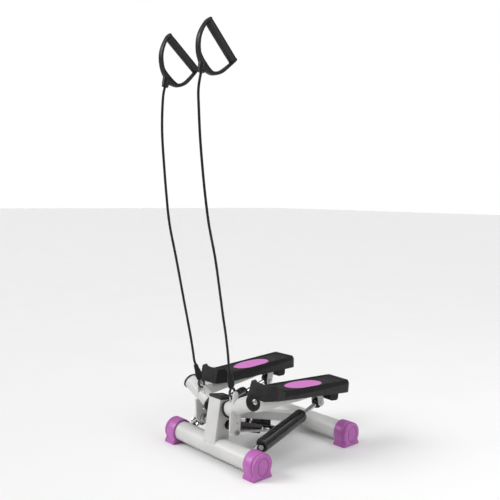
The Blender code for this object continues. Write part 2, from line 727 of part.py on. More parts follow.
# ---------------------------------------------------------------- dampers
def damper(side):
    """Hydraulic cylinder between the front tube's lug and the arm's clevis, drawn along local Z."""
    name = side_name(side)
    foot_place = Vector((CYLINDER_FOOT.x * side, CYLINDER_FOOT.y, CYLINDER_FOOT.z))
    clevis = at_rest(CLEVIS, side)
    along = (clevis - foot_place).normalized()
    across = hinge_axis(side)
    across = (across - along * across.dot(along)).normalized()
    turn = Matrix((across, along.cross(across), along)).transposed().to_quaternion()
    length = (clevis - foot_place).length
    empty = make_empty(f"{name}_cylinder_axis", ROOT, foot_place, turn)

    r = CYLINDER_RADIUS
    profile = [
        (0.0070, CYLINDER_END),
        (0.0120, CYLINDER_END),
        (0.0165, CYLINDER_END - 0.0022),
        (0.0192, CYLINDER_END - 0.0068),
        (r, CYLINDER_END - 0.0130),
        (r, CYLINDER_START + 0.004),
        (r - 0.0012, CYLINDER_START + 0.001),
        (r - 0.0028, CYLINDER_START),
        (0, CYLINDER_START),
        (0, CYLINDER_START + 0.008),
        (CYLINDER_BORE, CYLINDER_START + 0.008),
        (CYLINDER_BORE, CYLINDER_END - 0.018),
        (0.0070, CYLINDER_END - 0.014),
        (0.0070, CYLINDER_END),
    ]
    barrel = turned(profile, sides=32)
    for place in (-1, 1):
        ear = 0.0085
        root = CYLINDER_START + 0.006
        ear_outline = [(ear, root), *reversed(arc((0, 0), ear, 180, 360, 8)), (-ear, root)]
        hole = arc((0, 0), 0.0044, 0, 330, 11)
        ear = facing_x(plate(ear_outline, 0.0040, (hole,)), place * 0.0066)
        barrel = joined(barrel, ear)
    finish(barrel, f"{name}_cylinder_body", empty, BLACK_PAINT)

    pin = joined(
        rod((-0.0100, 0, 0), (0.0100, 0, 0), 0.0040, 16),
        rod((0.0090, 0, 0), (0.0140, 0, 0), 0.0072, 6),
        rod((-0.0140, 0, 0), (-0.0090, 0, 0), 0.0072, 6),
    )
    finish(pin, f"{name}_cylinder_bolt", empty, ZINC)

    head = rod((0, 0, PISTON), (0, 0, PISTON + 0.012), CYLINDER_BORE - 0.0004, 32)
    piston = joined(rod((0, 0, PISTON + 0.002), (0, 0, length - 0.0125), ROD_RADIUS), head)
    finish(piston, f"{name}_piston_rod", empty, CHROME)
    block = box((0.0200, 0.0240, 0.0290), (0, 0, 0), 0.0020)
    bore = rod((-0.02, 0, 0), (0.02, 0, 0), 0.0070, 20)
    socket = rod((0, 0, -0.020), (0, 0, -0.0125 + GAP), ROD_RADIUS + GAP)
    block = cut(block, bore, socket)
    bolt = rest_turn(side) @ Vector((math.cos(CLEVIS_TILT), 0, side * math.sin(CLEVIS_TILT)))
    bolt = turn.inverted() @ bolt
    moved(block, Matrix.Translation((0, 0, length)) @ Matrix.Rotation(math.atan2(bolt.y, bolt.x), 4, "Z"))
    finish(block, f"{name}_rod_end", empty, BLACK)


# ---------------------------------------------------------------- linkage under the beam
def link_frame(point):
    """Y along the linkage's fall to the rear, Z square to it."""
    return Matrix.Translation(point) @ Matrix.Rotation(-LINK_SLOPE, 4, "X")


def linkage_channel():
    """Black channel, open below, bolted through the post and carrying the rocker on its tongue."""
    r = LINK_DEPTH / 2
    flange_end = 0.140
    tongue_end = 0.203
    outline = [(tongue_end, r), *arc((0, 0), r, 90, 270, 12), (flange_end - 0.006, -r)]
    outline += [(flange_end, r - SHEET), (tongue_end, r - SHEET)]
    body = facing_x(plate(outline, 2 * LINK_HALF_WIDTH), 0)
    inner = LINK_HALF_WIDTH - SHEET
    room = box((2 * inner, 0.30, LINK_DEPTH), (0, 0.10, -SHEET))
    front = box((2 * inner, 0.10, 0.06), (0, -0.032, 0))
    body = cut(body, room, front)
    bolt = rod((-0.05, 0, 0), (0.05, 0, 0), 0.0053, 16)
    body = moved(cut(body, bolt), link_frame(LINK_FRONT))
    post = moved(box((2 * inner, POST_SIZE + 0.001, 0.40), (0, 0, 0.1)), post_frame())
    screw_hole = rod((0, KNOB_Y, 0.0), (0, KNOB_Y, 0.12), 0.0055, 16)
    pivot = moved(rod((0, 0, -0.03), (0, 0, 0.03), 0.0044, 16), link_frame(ROCKER_CENTRE))
    finish(cut(body, post, screw_hole, pivot), "linkage_channel", ROOT, BLACK_PAINT)

    outside = LINK_HALF_WIDTH + GAP
    y, z = LINK_FRONT.yz
    shank = rod((-outside - 0.001, y, z), (outside + 0.001, y, z), 0.0050, 16)
    ends = [rod((s * outside, y, z), (s * (outside + 0.006), y, z), 0.0105, 24, 0.0095) for s in (-1, 1)]
    finish(joined(shank, *ends), "channel_bolt", ROOT, BLACK)


def adjuster_and_spacer():
    """Stud that ties the linkage channel to the beam, with its round nut between them."""
    link_top = LINK_FRONT.z - (KNOB_Y - LINK_FRONT.y) * math.tan(LINK_SLOPE)
    link_top += LINK_DEPTH / 2 / math.cos(LINK_SLOPE)
    place = Vector((0, KNOB_Y, link_top + 0.0032))
    empty = make_empty("adjuster_axis", ROOT, place)
    profile = [
        (0, 0.0210),
        (0.0048, 0.0210),
        (0.0048, 0.0060),
        (0.0060, 0.0055),
        (0.0074, 0.0038),
        (0.0080, 0.0014),
        (0.0080, 0.0),
        (0.0048, 0.0),
        (0.0048, -0.0290),
        (0.0064, -0.0290),
        (0.0064, -0.0340),
        (0, -0.0340),
    ]
    finish(turned(profile, sides=24), "adjuster_nut", empty, BLACK)

    block_y = 0.196
    low = ROCKER_CENTRE.z + 0.0075
    block = box((0.026, 0.028, 0.05), (0, block_y, low + 0.02))
    beam = moved(box((0.1, 0.5, BEAM_DEPTH + 2 * GAP), (0, 0, 0)), beam_frame())
    above = moved(box((0.1, 0.5, 0.1), (0, 0, 0.05)), beam_frame())
    channel = moved(box((0.1, 0.5, 0.1), (0, 0, LINK_DEPTH / 2 - 0.05 + GAP)), link_frame(LINK_FRONT))
    nut_room = moved(rod((0, 0, -0.01), (0, 0, 0.04), 0.0085, 20), link_frame(ROCKER_CENTRE))
    step_place = link_frame(LINK_FRONT + Vector((0, 0.141, -0.0335)))
    step = moved(box((0.024, 0.030, 0.012), (0, 0, 0.0035)), step_place)
    finish(cut(joined(block, step), beam, above, channel, nut_room), "spacer_block", ROOT, BLACK)


def rocker_level():
    """The rocker's mid-plane below the channel's tongue, in the linkage frame at its centre."""
    channel_top = link_frame(LINK_FRONT) @ Vector((0, 0, LINK_DEPTH / 2 - SHEET))
    tongue = link_frame(ROCKER_CENTRE).inverted() @ channel_top
    return tongue.z - GAP - 0.003


def rocker():
    """Two-armed rocker that makes one pedal rise as the other falls."""
    level = rocker_level()
    frame = link_frame(ROCKER_CENTRE) @ Matrix.Translation((0, 0, level))
    empty = make_empty("rocker_axis", ROOT, frame.translation, frame.to_quaternion())
    disc = rod((0, 0, -0.003), (0, 0, 0.003), 0.0250, 36)
    bar = plate([*arc((0.030, 0), 0.0085, -90, 90, 8), *arc((-0.030, 0), 0.0085, 90, 270, 8)], 0.006)
    hub = rod((0, 0, -0.0050), (0, 0, 0), 0.0100, 24)
    pins = [rod((s * ROCKER_ARM, 0, -0.0125), (s * ROCKER_ARM, 0, 0.0), 0.0030, 16) for s in (-1, 1)]
    heads = [rod((s * ROCKER_ARM, 0, -0.0155), (s * ROCKER_ARM, 0, -0.0120), 0.0062, 16) for s in (-1, 1)]
    body = joined(disc, bar, hub, *pins, *heads)
    bore = rod((0, 0, -0.02), (0, 0, 0.02), 0.0044, 16)
    finish(cut(body, bore), "rocker", empty, BLACK)

    head = level + 0.003 + GAP + SHEET + GAP
    pivot = joined(
        rod((0, 0, -0.012), (0, 0, head + 0.001), 0.0040, 16),
        rod((0, 0, head), (0, 0, head + 0.0045), 0.0072, 6),
        rod((0, 0, -0.0125), (0, 0, -0.0058 + level), 0.0068, 6),
    )
    moved(pivot, link_frame(ROCKER_CENTRE))
    finish(pivot, "rocker_bolt", ROOT, ZINC)


def tie_rod(side, arm):
    """Rod from the lever's bolt to the rocker, with an eye at each end."""
    name = f"{side_name(side)}_tie_rod"
    start = at_rest(LEVER_BOLT, side)
    level = rocker_level()
    frame = link_frame(ROCKER_CENTRE)
    end = frame @ Vector((side * ROCKER_ARM, 0, level - 0.0075))
    run = end - start
    back = rest_turn(side).inverted()
    empty = make_empty(f"{name}_axis", arm, back @ (start - PIVOT), back)
    shaft = rod((0, 0, 0), run, 0.0034, 16)
    bolt_axis = rest_turn(side) @ Vector((side, 0, 0))
    eye = rod(-bolt_axis * 0.0045, bolt_axis * 0.0045, 0.0122, 24)
    pin_axis = frame.to_3x3() @ Vector((0, 0, 1))
    far_eye = rod(run - pin_axis * 0.0035, run + pin_axis * 0.0035, 0.0085, 20)
    body = joined(shaft, eye, far_eye)
    body = cut(
        body,
        rod(-bolt_axis * 0.02, bolt_axis * 0.02, 0.0056, 16),
        rod(run - pin_axis * 0.02, run + pin_axis * 0.02, 0.0050, 16),
    )
    finish(body, name, empty, ZINC)


# ---------------------------------------------------------------- resistance bands
# Each band's line from the hook's top to the handle, one side after the other, at rest.
LEFT_CORD = [
    (0.0672, -0.0072, 0.2665),
    (0.0680, -0.0140, 0.3150),
    (0.0710, -0.0250, 0.3700),
    (0.0750, -0.0390, 0.4240),
    (0.0800, -0.0530, 0.4790),
    (0.0860, -0.0775, 0.5830),
    (0.0870, -0.1010, 0.6740),
    (0.0870, -0.1140, 0.7480),
    (0.0870, -0.1240, 0.8210),
    (0.0870, -0.1320, 0.8930),
    (0.0870, -0.1370, 0.9640),
    (0.0870, -0.1388, 1.0150),
    (0.0870, -0.1315, 1.0560),
]
RIGHT_CORD = [
    (-0.0666, -0.0205, 0.2610),
    (-0.0672, -0.0300, 0.3020),
    (-0.0690, -0.0380, 0.3480),
    (-0.0730, -0.0480, 0.4040),
    (-0.0785, -0.0570, 0.4590),
    (-0.0860, -0.0770, 0.5690),
    (-0.0870, -0.1000, 0.6670),
    (-0.0870, -0.1110, 0.7470),
    (-0.0870, -0.1190, 0.8250),
    (-0.0870, -0.1255, 0.9020),
    (-0.0870, -0.1265, 0.9600),
    (-0.0870, -0.1235, 1.0150),
    (-0.0870, -0.1180, 1.0405),
]
# Grip's upper end and lower end in the plane of each handle.
LEFT_GRIP = ((-0.1095, 1.1880), (-0.0255, 1.0995))
RIGHT_GRIP = ((-0.1090, 1.1770), (-0.0112, 1.0980))
# Half of the handle's bow: distance along the grip, distance out from the grip.
BOW_OUTSIDE = [(0.0645, -0.0095), (0.0650, 0.012), (0.0567, 0.0528), (0.0365, 0.0808), (0.0110, 0.0950)]
BOW_INSIDE = [(0.0595, -0.0095), (0.0590, 0.012), (0.0495, 0.0495), (0.0310, 0.0738), (0.0120, 0.0785)]


def band(side, arm):
    name = side_name(side)
    route = [Vector(p) for p in (LEFT_CORD if side > 0 else RIGHT_CORD)]
    hinge = at_rest(EYE_HINGE, side)
    inverse = rest_turn(side).inverted()
    empty = make_empty(f"{name}_band_axis", arm, inverse @ (hinge - PIVOT), inverse)
    to_local = Matrix.Translation(-hinge)

    strap_end = route[0]
    up = (strap_end - hinge).normalized()
    hook_low = hinge - up * 0.0054
    out = up.cross(Vector((1, 0, 0))).normalized()
    centre = hook_low + up * 0.0126
    oval = [centre + out * (0.0092 * math.cos(a)) + up * (0.0126 * math.sin(a)) for a in circle(20)]
    hook = moved(wire(oval, 0.0027, 2, closed=True), to_local)
    finish(hook, f"{name}_hook", empty, BLACK_PAINT)

    top = centre + up * (0.0126 + 0.0027 + 2 * GAP)
    strap = strap_solid(top, strap_end, up)
    finish(moved(strap, to_local), f"{name}_strap", empty, WEBBING)

    cord_start = strap_end + up * GAP
    points = smooth_path([cord_start, cord_start + up * 0.014, *route[1:]], 0.0155)
    finish(moved(wire(points, BAND_RADIUS, 2), to_local), f"{name}_cord", empty, RUBBER)
    handle(side, empty, hinge, points)


def strap_solid(start, end, up):
    """The webbing sleeve, flat where it wraps the hook and round where it holds the cord."""
    length = (end - start).length
    bm = bmesh.new()
    rings = []
    sections = [(0, 0.0205, 0.0090), (0.3, 0.0225, 0.0110), (0.7, 0.0165, 0.0120), (1, 0.0125, 0.0120)]
    for t, wide, thick in sections:
        ring_points = []
        for a in circle(16):
            ring_points.append(bm.verts.new((thick / 2 * math.cos(a), wide / 2 * math.sin(a), t * length)))
        rings.append(ring_points)
    for a, b in zip(rings, rings[1:]):
        for i in range(16):
            j = (i + 1) % 16
            bm.faces.new((a[i], a[j], b[j], b[i]))
    bm.faces.new(rings[0])
    bm.faces.new(rings[-1])
    return moved(from_bmesh(bm), aimed(start, end - start))


def bow_outline():
    """The bow bends to one side towards its hub, because the cord pulls at an angle to the grip."""
    outside, inside = (
        [(p.x, p.y) for p in smooth_path([Vector((u, v, 0)) for u, v in half], 0.0085)]
        for half in (BOW_OUTSIDE, BOW_INSIDE)
    )
    loop = outside + [(-u, v) for u, v in reversed(outside)] + [(-u, v) for u, v in inside] + inside[::-1]
    return [(u - 1.67 * v * abs(v), v) for u, v in loop]


def handle(side, empty, hinge, cord):
    """D-shaped strap frame with a hub for the cord, and a grip that turns on the frame's bar."""
    name = side_name(side)
    high, low = (Vector((cord[-1].x, y, z)) for y, z in (LEFT_GRIP if side > 0 else RIGHT_GRIP))
    to_local = Matrix.Translation(-hinge)
    axis = (high - low).normalized()
    middle = (high + low) / 2
    out = Vector((1, 0, 0)).cross(axis)
    frame = Matrix.Translation(middle) @ Matrix((axis, out, Vector((1, 0, 0)))).transposed().to_4x4()

    bow = moved(plate(bow_outline(), 0.0170), frame)
    lead = (cord[-1] - cord[-2]).normalized()
    hub = rod(cord[-1] + lead * GAP, cord[-1] + lead * 0.026, 0.0092, 20, 0.0112)
    half = BOW_OUTSIDE[0][0]
    ends = [rod(middle + axis * s * half, middle + axis * s * (half - 0.0055), 0.0122, 24) for s in (-1, 1)]
    bar = rod(middle - axis * (half - 0.001), middle + axis * (half - 0.001), 0.0070, 20)
    finish(moved(joined(bow, hub, *ends, bar), to_local), f"{name}_handle_frame", empty, BLACK)

    spin = make_empty(f"{name}_grip_axis", empty, middle - hinge)
    length = half - 0.0058
    inside = 0.0074
    profile = [
        (inside, length),
        (GRIP_RADIUS - 0.0008, length),
        (GRIP_RADIUS, length - 0.0012),
        (GRIP_RADIUS, -length + 0.0012),
        (GRIP_RADIUS - 0.0008, -length),
        (inside, -length),
        (inside, length),
    ]
    finish(turned(profile, (0, 0, 0), axis, 28), f"{name}_grip", spin, RUBBER)


# ---------------------------------------------------------------- assembly
clear_scene()
PARTS = make_collection("stepper")
ROOT = make_empty("stepper", None, Vector((0, FRONT_TUBE_Y, 0)))

cross_tube("front_cross_tube", 0, lugs=True)
cross_tube("rear_cross_tube", TUBE_SPACING, lugs=False)
for end_name, end_y in (("front", 0), ("rear", TUBE_SPACING)):
    for sign in (1, -1):
        foot(f"{end_name}_{side_name(sign)}_foot", sign, end_y)
front_post()
centre_beam()
counter()
linkage_channel()
adjuster_and_spacer()
rocker()
for sign in (1, -1):
    arm_empty = make_empty(f"{side_name(sign)}_arm_axis", ROOT, PIVOT, rest_turn(sign))
    axle(sign)
    sleeve_weldment(sign, arm_empty)
    bushes(sign, arm_empty)
    lever_bolt(sign, arm_empty)
    pedal(sign, arm_empty)
    support_channel(sign, arm_empty)
    clevis_bolt(sign, arm_empty)
    bumper(sign, arm_empty)
    damper(sign)
    tie_rod(sign, arm_empty)
    band(sign, arm_empty)
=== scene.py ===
"""Looks of the twist stepper: materials, treads, end caps, webbing, cords and handles."""

import json
import math

import bmesh
import bpy
from mathutils import Matrix, Quaternion, Vector, noise
from mathutils.bvhtree import BVHTree


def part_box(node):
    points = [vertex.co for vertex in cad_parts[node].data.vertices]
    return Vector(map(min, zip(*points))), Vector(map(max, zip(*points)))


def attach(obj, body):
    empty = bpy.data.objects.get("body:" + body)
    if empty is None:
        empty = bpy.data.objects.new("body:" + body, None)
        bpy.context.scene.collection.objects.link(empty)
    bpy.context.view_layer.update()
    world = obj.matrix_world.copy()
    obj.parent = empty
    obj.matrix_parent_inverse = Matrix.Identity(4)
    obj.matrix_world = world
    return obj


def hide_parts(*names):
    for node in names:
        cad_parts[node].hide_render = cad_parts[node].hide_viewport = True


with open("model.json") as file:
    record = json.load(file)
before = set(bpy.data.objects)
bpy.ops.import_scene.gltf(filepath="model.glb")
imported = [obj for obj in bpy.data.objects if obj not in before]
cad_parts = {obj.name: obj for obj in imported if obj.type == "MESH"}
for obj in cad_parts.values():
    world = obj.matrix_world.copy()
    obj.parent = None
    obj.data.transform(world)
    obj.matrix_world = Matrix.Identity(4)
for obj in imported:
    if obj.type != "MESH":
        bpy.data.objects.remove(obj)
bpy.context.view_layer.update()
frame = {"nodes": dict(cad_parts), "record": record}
NODES = frame["nodes"]
SCENE = bpy.context.scene
SIDES = (("left", 1), ("right", -1))

# Places that the CAD model uses too, in metres, with y = 0 at the front cross tube.
FRONT_TUBE_Y = -0.1309
TO_WORLD = Vector((0, FRONT_TUBE_Y, 0))
TUBE_HEIGHT = 0.0365
TUBE_RADIUS = 0.0285
PIVOT = Vector((0, 0.0178, 0.1312))
AXLE_TILT = math.radians(23.64)
REST_TILT = math.radians(2.48)
EYE_HINGE = Vector((0.0660, 0.0050, 0.1971))
GAP = 0.0003

PEDAL_ORIGIN = Vector((0.1062, 0.0562, 0.1879))
PEDAL_TURN = (math.radians(-1.85), math.radians(-2.88), math.radians(0.45))  # yaw, pitch, roll
PEDAL_LENGTH = 0.3385
PEDAL_DISH = 0.0040
TREAD_HALF = 0.0362
TREAD_START, TREAD_END = 0.0450, 0.3165
LEAF_CENTRE, LEAF_HALF_LENGTH, LEAF_HALF_WIDTH = 0.182, 0.0705, 0.0350

POST_SIZE = 0.052
POST_LEAN = math.radians(9.5)
POST_FOOT = Vector((0, -0.0043, 0.010))
BEAM_SIZE = (0.044, 0.026)
BEAM_SLOPE = math.radians(15.1)
BEAM_POINT = Vector((0, 0.194, 0.0867))

CORD_DIAMETER = 0.007
CORDS = {
    "left": [
        (0.0672, -0.0072, 0.2665),
        (0.0680, -0.0140, 0.3150),
        (0.0710, -0.0250, 0.3700),
        (0.0750, -0.0390, 0.4240),
        (0.0800, -0.0530, 0.4790),
        (0.0860, -0.0775, 0.5830),
        (0.0870, -0.1010, 0.6740),
        (0.0870, -0.1140, 0.7480),
        (0.0870, -0.1240, 0.8210),
        (0.0870, -0.1320, 0.8930),
        (0.0870, -0.1370, 0.9640),
        (0.0870, -0.1388, 1.0150),
        (0.0870, -0.1315, 1.0560),
    ],
    "right": [
        (-0.0666, -0.0205, 0.2610),
        (-0.0672, -0.0300, 0.3020),
        (-0.0690, -0.0380, 0.3480),
        (-0.0730, -0.0480, 0.4040),
        (-0.0785, -0.0570, 0.4590),
        (-0.0860, -0.0770, 0.5690),
        (-0.0870, -0.1000, 0.6670),
        (-0.0870, -0.1110, 0.7470),
        (-0.0870, -0.1190, 0.8250),
        (-0.0870, -0.1255, 0.9020),
        (-0.0870, -0.1265, 0.9600),
        (-0.0870, -0.1235, 1.0150),
        (-0.0870, -0.1180, 1.0405),
    ],
}
GRIPS = {  # upper and lower end, each (y, z)
    "left": ((-0.1095, 1.1880), (-0.0255, 1.0995)),
    "right": ((-0.1090, 1.1770), (-0.0112, 1.0980)),
}
GRIP_RADIUS = 0.0115
# Half of the handle's bow: distance along the grip, distance out from the grip.
BOW_OUTSIDE = [
    (0.0645, -0.0095),
    (0.0650, 0.012),
    (0.0567, 0.0528),
    (0.0365, 0.0808),
    (0.0110, 0.0950),
]
BOW_INSIDE = [
    (0.0595, -0.0095),
    (0.0590, 0.012),
    (0.0495, 0.0495),
    (0.0310, 0.0738),
    (0.0120, 0.0785),
]
BOW_WIDTH = 0.0170


# ---------------------------------------------------------------- places
def smooth_path(route, spacing):
    """Points at an even spacing along a Catmull-Rom curve through the route."""
    ends = [route[0] * 2 - route[1], *route, route[-1] * 2 - route[-2]]
    fine = []
    for a, b, c, d in zip(ends, ends[1:], ends[2:], ends[3:]):
        for i in range(20):
            t = i / 20
            cubic = (2 * a - 5 * b + 4 * c - d) * t**2 + (3 * b - a - 3 * c + d) * t**3
            fine.append(0.5 * (2 * b + (c - a) * t + cubic))
    fine.append(route[-1])
    length = sum((q - p).length for p, q in zip(fine, fine[1:]))
    count = max(2, round(length / spacing))
    points = [fine[0]]
    walked = 0.0
    for p, q in zip(fine, fine[1:]):
        step = (q - p).length
        while walked + step >= length * len(points) / count - 1e-9 and len(points) < count:
            points.append(p.lerp(q, (length * len(points) / count - walked) / step))
        walked += step
    points.append(fine[-1])
    return points


def rest_turn(side):
    """Turn of an arm from level to its place at rest."""
    axis = Vector((math.cos(AXLE_TILT), 0, side * math.sin(AXLE_TILT)))
    return Quaternion(axis, -side * REST_TILT)


def band_ends(name, side):
    """Hinge of the hook in its eye, the strap's upper end, and the direction between them."""
    level = Vector((EYE_HINGE.x * side, EYE_HINGE.y, EYE_HINGE.z))
    hinge = PIVOT + rest_turn(side) @ (level - PIVOT) + TO_WORLD
    top = Vector(CORDS[name][0]) + TO_WORLD
    return hinge, top, (top - hinge).normalized()


def cord_route(name, side):
    """Points of the cord from the strap's end to the handle."""
    _, top, up = band_ends(name, side)
    start = top + up * GAP
    rest = [Vector(p) + TO_WORLD for p in CORDS[name][1:]]
    return smooth_path([start, start + up * 0.014, *rest], 0.0155)


# ---------------------------------------------------------------- camera
def add_camera():
    """Camera in front and to the left of the user, looking slightly down."""
    azimuth, elevation, roll = (math.radians(a) for a in (47.30, 4.64, 0.83))
    flat = math.cos(elevation)
    back = Vector((math.sin(azimuth) * flat, -math.cos(azimuth) * flat, math.sin(elevation)))
    right = Vector((math.cos(azimuth), math.sin(azimuth), 0))
    up = back.cross(right)
    c, s = math.cos(roll), math.sin(roll)
    right, up = c * right + s * up, c * up - s * right
    camera = bpy.data.objects.new("camera", bpy.data.cameras.new("camera"))
    SCENE.collection.objects.link(camera)
    camera.matrix_world = Matrix((right, up, back)).transposed().to_4x4()
    camera.location = Vector((1.4147, -1.1803, 0.7481)) + TO_WORLD
    camera.data.sensor_width = 36
    camera.data.lens = 47.57
    SCENE.camera = camera


# ---------------------------------------------------------------- materials
class Shader:
    """A Principled material whose textures run in the model's own metres."""

    def __init__(self, name, colour, roughness, metallic=0.0, **sockets):
        self.material = bpy.data.materials.new(name)
        self.material.use_nodes = True
        self.tree = self.material.node_tree
        self.shader = self.tree.nodes["Principled BSDF"]
        self.shader.inputs["Roughness"].default_value = roughness
        self.shader.inputs["Metallic"].default_value = metallic
        for socket, value in sockets.items():
            self.shader.inputs[socket.replace("_", " ")].default_value = value
        self.colour = colour
        self.roughness = roughness
        self.place = self.node("ShaderNodeTexCoord").outputs["Object"]
        self.normal = None
        self.material.diffuse_color = (*colour, 1)

    def node(self, kind, **values):
        node = self.tree.nodes.new(kind)
        for key, value in values.items():
            if hasattr(node, key):
                setattr(node, key, value)
            else:
                node.inputs[key.replace("_", " ")].default_value = value
        return node

    def wire(self, output, socket):
        self.tree.links.new(output, socket)

    def stretched(self, scale, turn=(0, 0, 0)):
        mapping = self.node("ShaderNodeMapping")
        mapping.inputs["Scale"].default_value = scale
        mapping.inputs["Rotation"].default_value = turn
        self.wire(self.place, mapping.inputs["Vector"])
        return mapping.outputs["Vector"]

    def noise(self, scale, detail=3.0, place=None):
        texture = self.node("ShaderNodeTexNoise", Scale=scale, Detail=detail)
        self.wire(place or self.place, texture.inputs["Vector"])
        return texture.outputs["Fac"]

    def cells(self, scale, place=None):
        texture = self.node("ShaderNodeTexVoronoi", Scale=scale)
        self.wire(place or self.place, texture.inputs["Vector"])
        return texture.outputs["Distance"]

    def attribute(self, name):
        return self.node("ShaderNodeAttribute", attribute_name=name).outputs["Fac"]

    def between(self, value, low, high, out_low, out_high):
        node = self.node("ShaderNodeMapRange")
        keys = ("From Min", "From Max", "To Min", "To Max")
        for key, number in zip(keys, (low, high, out_low, out_high)):
            node.inputs[key].default_value = number
        self.wire(value, node.inputs["Value"])
        return node.outputs["Result"]

    def tint(self, value, other, low=0.35, high=0.65):
        """Varies the base colour between its own and another one."""
        ramp = self.node("ShaderNodeValToRGB")
        ramp.color_ramp.elements[0].position = low
        ramp.color_ramp.elements[1].position = high
        ramp.color_ramp.elements[0].color = (*self.colour, 1)
        ramp.color_ramp.elements[1].color = (*other, 1)
        self.wire(value, ramp.inputs["Fac"])
        self.wire(ramp.outputs["Color"], self.shader.inputs["Base Color"])

    def vary_roughness(self, value, spread, low=0.3, high=0.7):
        result = self.between(value, low, high, self.roughness - spread, self.roughness + spread)
        self.wire(result, self.shader.inputs["Roughness"])

    def rounded(self, radius):
        """Softens how the sharp edges of a hard piece catch the light."""
        bevel = self.node("ShaderNodeBevel", samples=4, Radius=radius)
        self.normal = bevel.outputs["Normal"]
        self.wire(self.normal, self.shader.inputs["Normal"])

    def bump(self, value, strength, distance):
        bump = self.node("ShaderNodeBump", Strength=strength, Distance=distance)
        self.wire(value, bump.inputs["Height"])
        if self.normal:
            self.wire(self.normal, bump.inputs["Normal"])
        self.normal = bump.outputs["Normal"]
        self.wire(self.normal, self.shader.inputs["Normal"])


def mixed(colour, factor, tint=(1, 1, 1)):
    return tuple(min(1.0, c * factor * t) for c, t in zip(colour, tint))


def powder_coat():
    """Satin coat: slow shifts in tone, orange peel, and a fine speckle in the gloss."""
    white = (0.640, 0.640, 0.630)
    s = Shader("powder_coat", white, 0.40, Coat_Weight=0.12, Coat_Roughness=0.25)
    s.tint(s.noise(22, 4), mixed(white, 0.93, (1.0, 0.995, 0.985)))
    s.vary_roughness(s.noise(420, 3), 0.07)
    s.rounded(0.0007)
    s.bump(s.noise(900, 2), 0.10, 0.0002)
    s.bump(s.noise(230, 2), 0.10, 0.0005)
    return s.material


def cap_plastic():
    """Satin moulded caps with faint flow marks and a fine spark-eroded grain."""
    purple = (0.485, 0.135, 0.455)
    s = Shader("cap_plastic", purple, 0.40, Coat_Weight=0.08, Coat_Roughness=0.3)
    flow = s.noise(38, 4, s.stretched((0.5, 1.0, 2.2)))
    s.tint(flow, mixed(purple, 0.86, (1.02, 0.96, 1.0)))
    s.vary_roughness(s.noise(500, 3), 0.08)
    s.bump(s.cells(1500), 0.12, 0.00015)
    s.bump(s.noise(300, 2), 0.08, 0.0003)
    return s.material


def insert_rubber():
    pink = (0.60, 0.185, 0.52)
    s = Shader("insert_rubber", pink, 0.52, Subsurface_Weight=0.04)
    # painted highlight: the stud tops are painted lighter pink than the hollows, which hold painted
    # shade
    s.tint(s.attribute("relief"), mixed(pink, 1.45, (1, 1.35, 1.15)), 0.25, 1.0)
    s.vary_roughness(s.noise(700, 2), 0.10)
    s.bump(s.cells(1700), 0.20, 0.0002)
    return s.material


def moulded_black(name, grey, roughness, grain, depth):
    """Black nylon: leather-like grain, broad scuffs that change the sheen."""
    s = Shader(name, (grey, grey, grey * 1.04), roughness, Specular_IOR_Level=0.32)
    s.tint(s.noise(60, 5), (grey * 1.7, grey * 1.7, grey * 1.8), 0.40, 0.75)
    s.vary_roughness(s.noise(140, 5), 0.12)
    s.rounded(0.0008)
    s.bump(s.cells(grain), 0.35, depth)
    s.bump(s.noise(grain * 0.6, 3), 0.20, depth)
    return s.material


def ribbed_black():
    """The tread: a painted highlight makes the tops of its ribs lighter, and painted shade keeps
    the valleys between them dark.
    """
    s = Shader("tread_nylon", (0.0065, 0.0065, 0.0070), 0.44, Specular_IOR_Level=0.30)
    # painted highlight on the rib tops and painted shade in the valleys, driven by the stored
    # relief height
    s.tint(s.attribute("relief"), (0.050, 0.052, 0.050), 0.30, 1.0)
    s.vary_roughness(s.noise(160, 5), 0.10)
    s.bump(s.cells(1900), 0.30, 0.00022)
    s.bump(s.noise(900, 3), 0.20, 0.0002)
    return s.material


def soft_black(name, grey, roughness, pores, depth, **sockets):
    """Rubber and foam: a matt skin with pores and a dusty bloom."""
    s = Shader(name, (grey, grey, grey), roughness, **sockets)
    s.tint(s.noise(95, 5), (grey * 2.0, grey * 2.0, grey * 2.0), 0.45, 0.80)
    s.vary_roughness(s.noise(300, 4), 0.09)
    s.bump(s.noise(pores, 4), 0.35, depth)
    s.bump(s.cells(pores * 0.7), 0.18, depth)
    return s.material


def black_enamel():
    """Gloss paint with a little orange peel and hairline scratches along the tube."""
    s = Shader("black_enamel", (0.010, 0.010, 0.011), 0.26, Coat_Weight=0.30, Coat_Roughness=0.14)
    s.tint(s.noise(35, 3), (0.020, 0.020, 0.022))
    s.vary_roughness(s.noise(70, 5, s.stretched((6.0, 1.0, 1.0))), 0.07)
    s.rounded(0.0006)
    s.bump(s.noise(420, 2), 0.10, 0.0003)
    return s.material


def chrome_plate():
    s = Shader("chrome_plate", (0.82, 0.83, 0.84), 0.11, 1.0)
    s.tint(s.noise(90, 4), (0.72, 0.73, 0.75), 0.35, 0.75)
    s.vary_roughness(s.noise(900, 3, s.stretched((1.0, 0.06, 1.0))), 0.05)
    s.rounded(0.0003)
    s.bump(s.noise(1400, 2), 0.05, 0.0001)
    return s.material


def zinc_plate(name, colour, roughness):
    """Bright zinc: cloudy passivation with faint straw and blue tints, and drawn lines."""
    s = Shader(name, colour, roughness, 1.0)
    s.tint(s.noise(210, 5), mixed(colour, 0.80, (1.05, 1.0, 0.92)), 0.35, 0.70)
    s.vary_roughness(s.noise(650, 4), 0.12)
    s.rounded(0.0004)
    s.bump(s.noise(1200, 3, s.stretched((1.0, 1.0, 0.15))), 0.16, 0.0001)
    return s.material


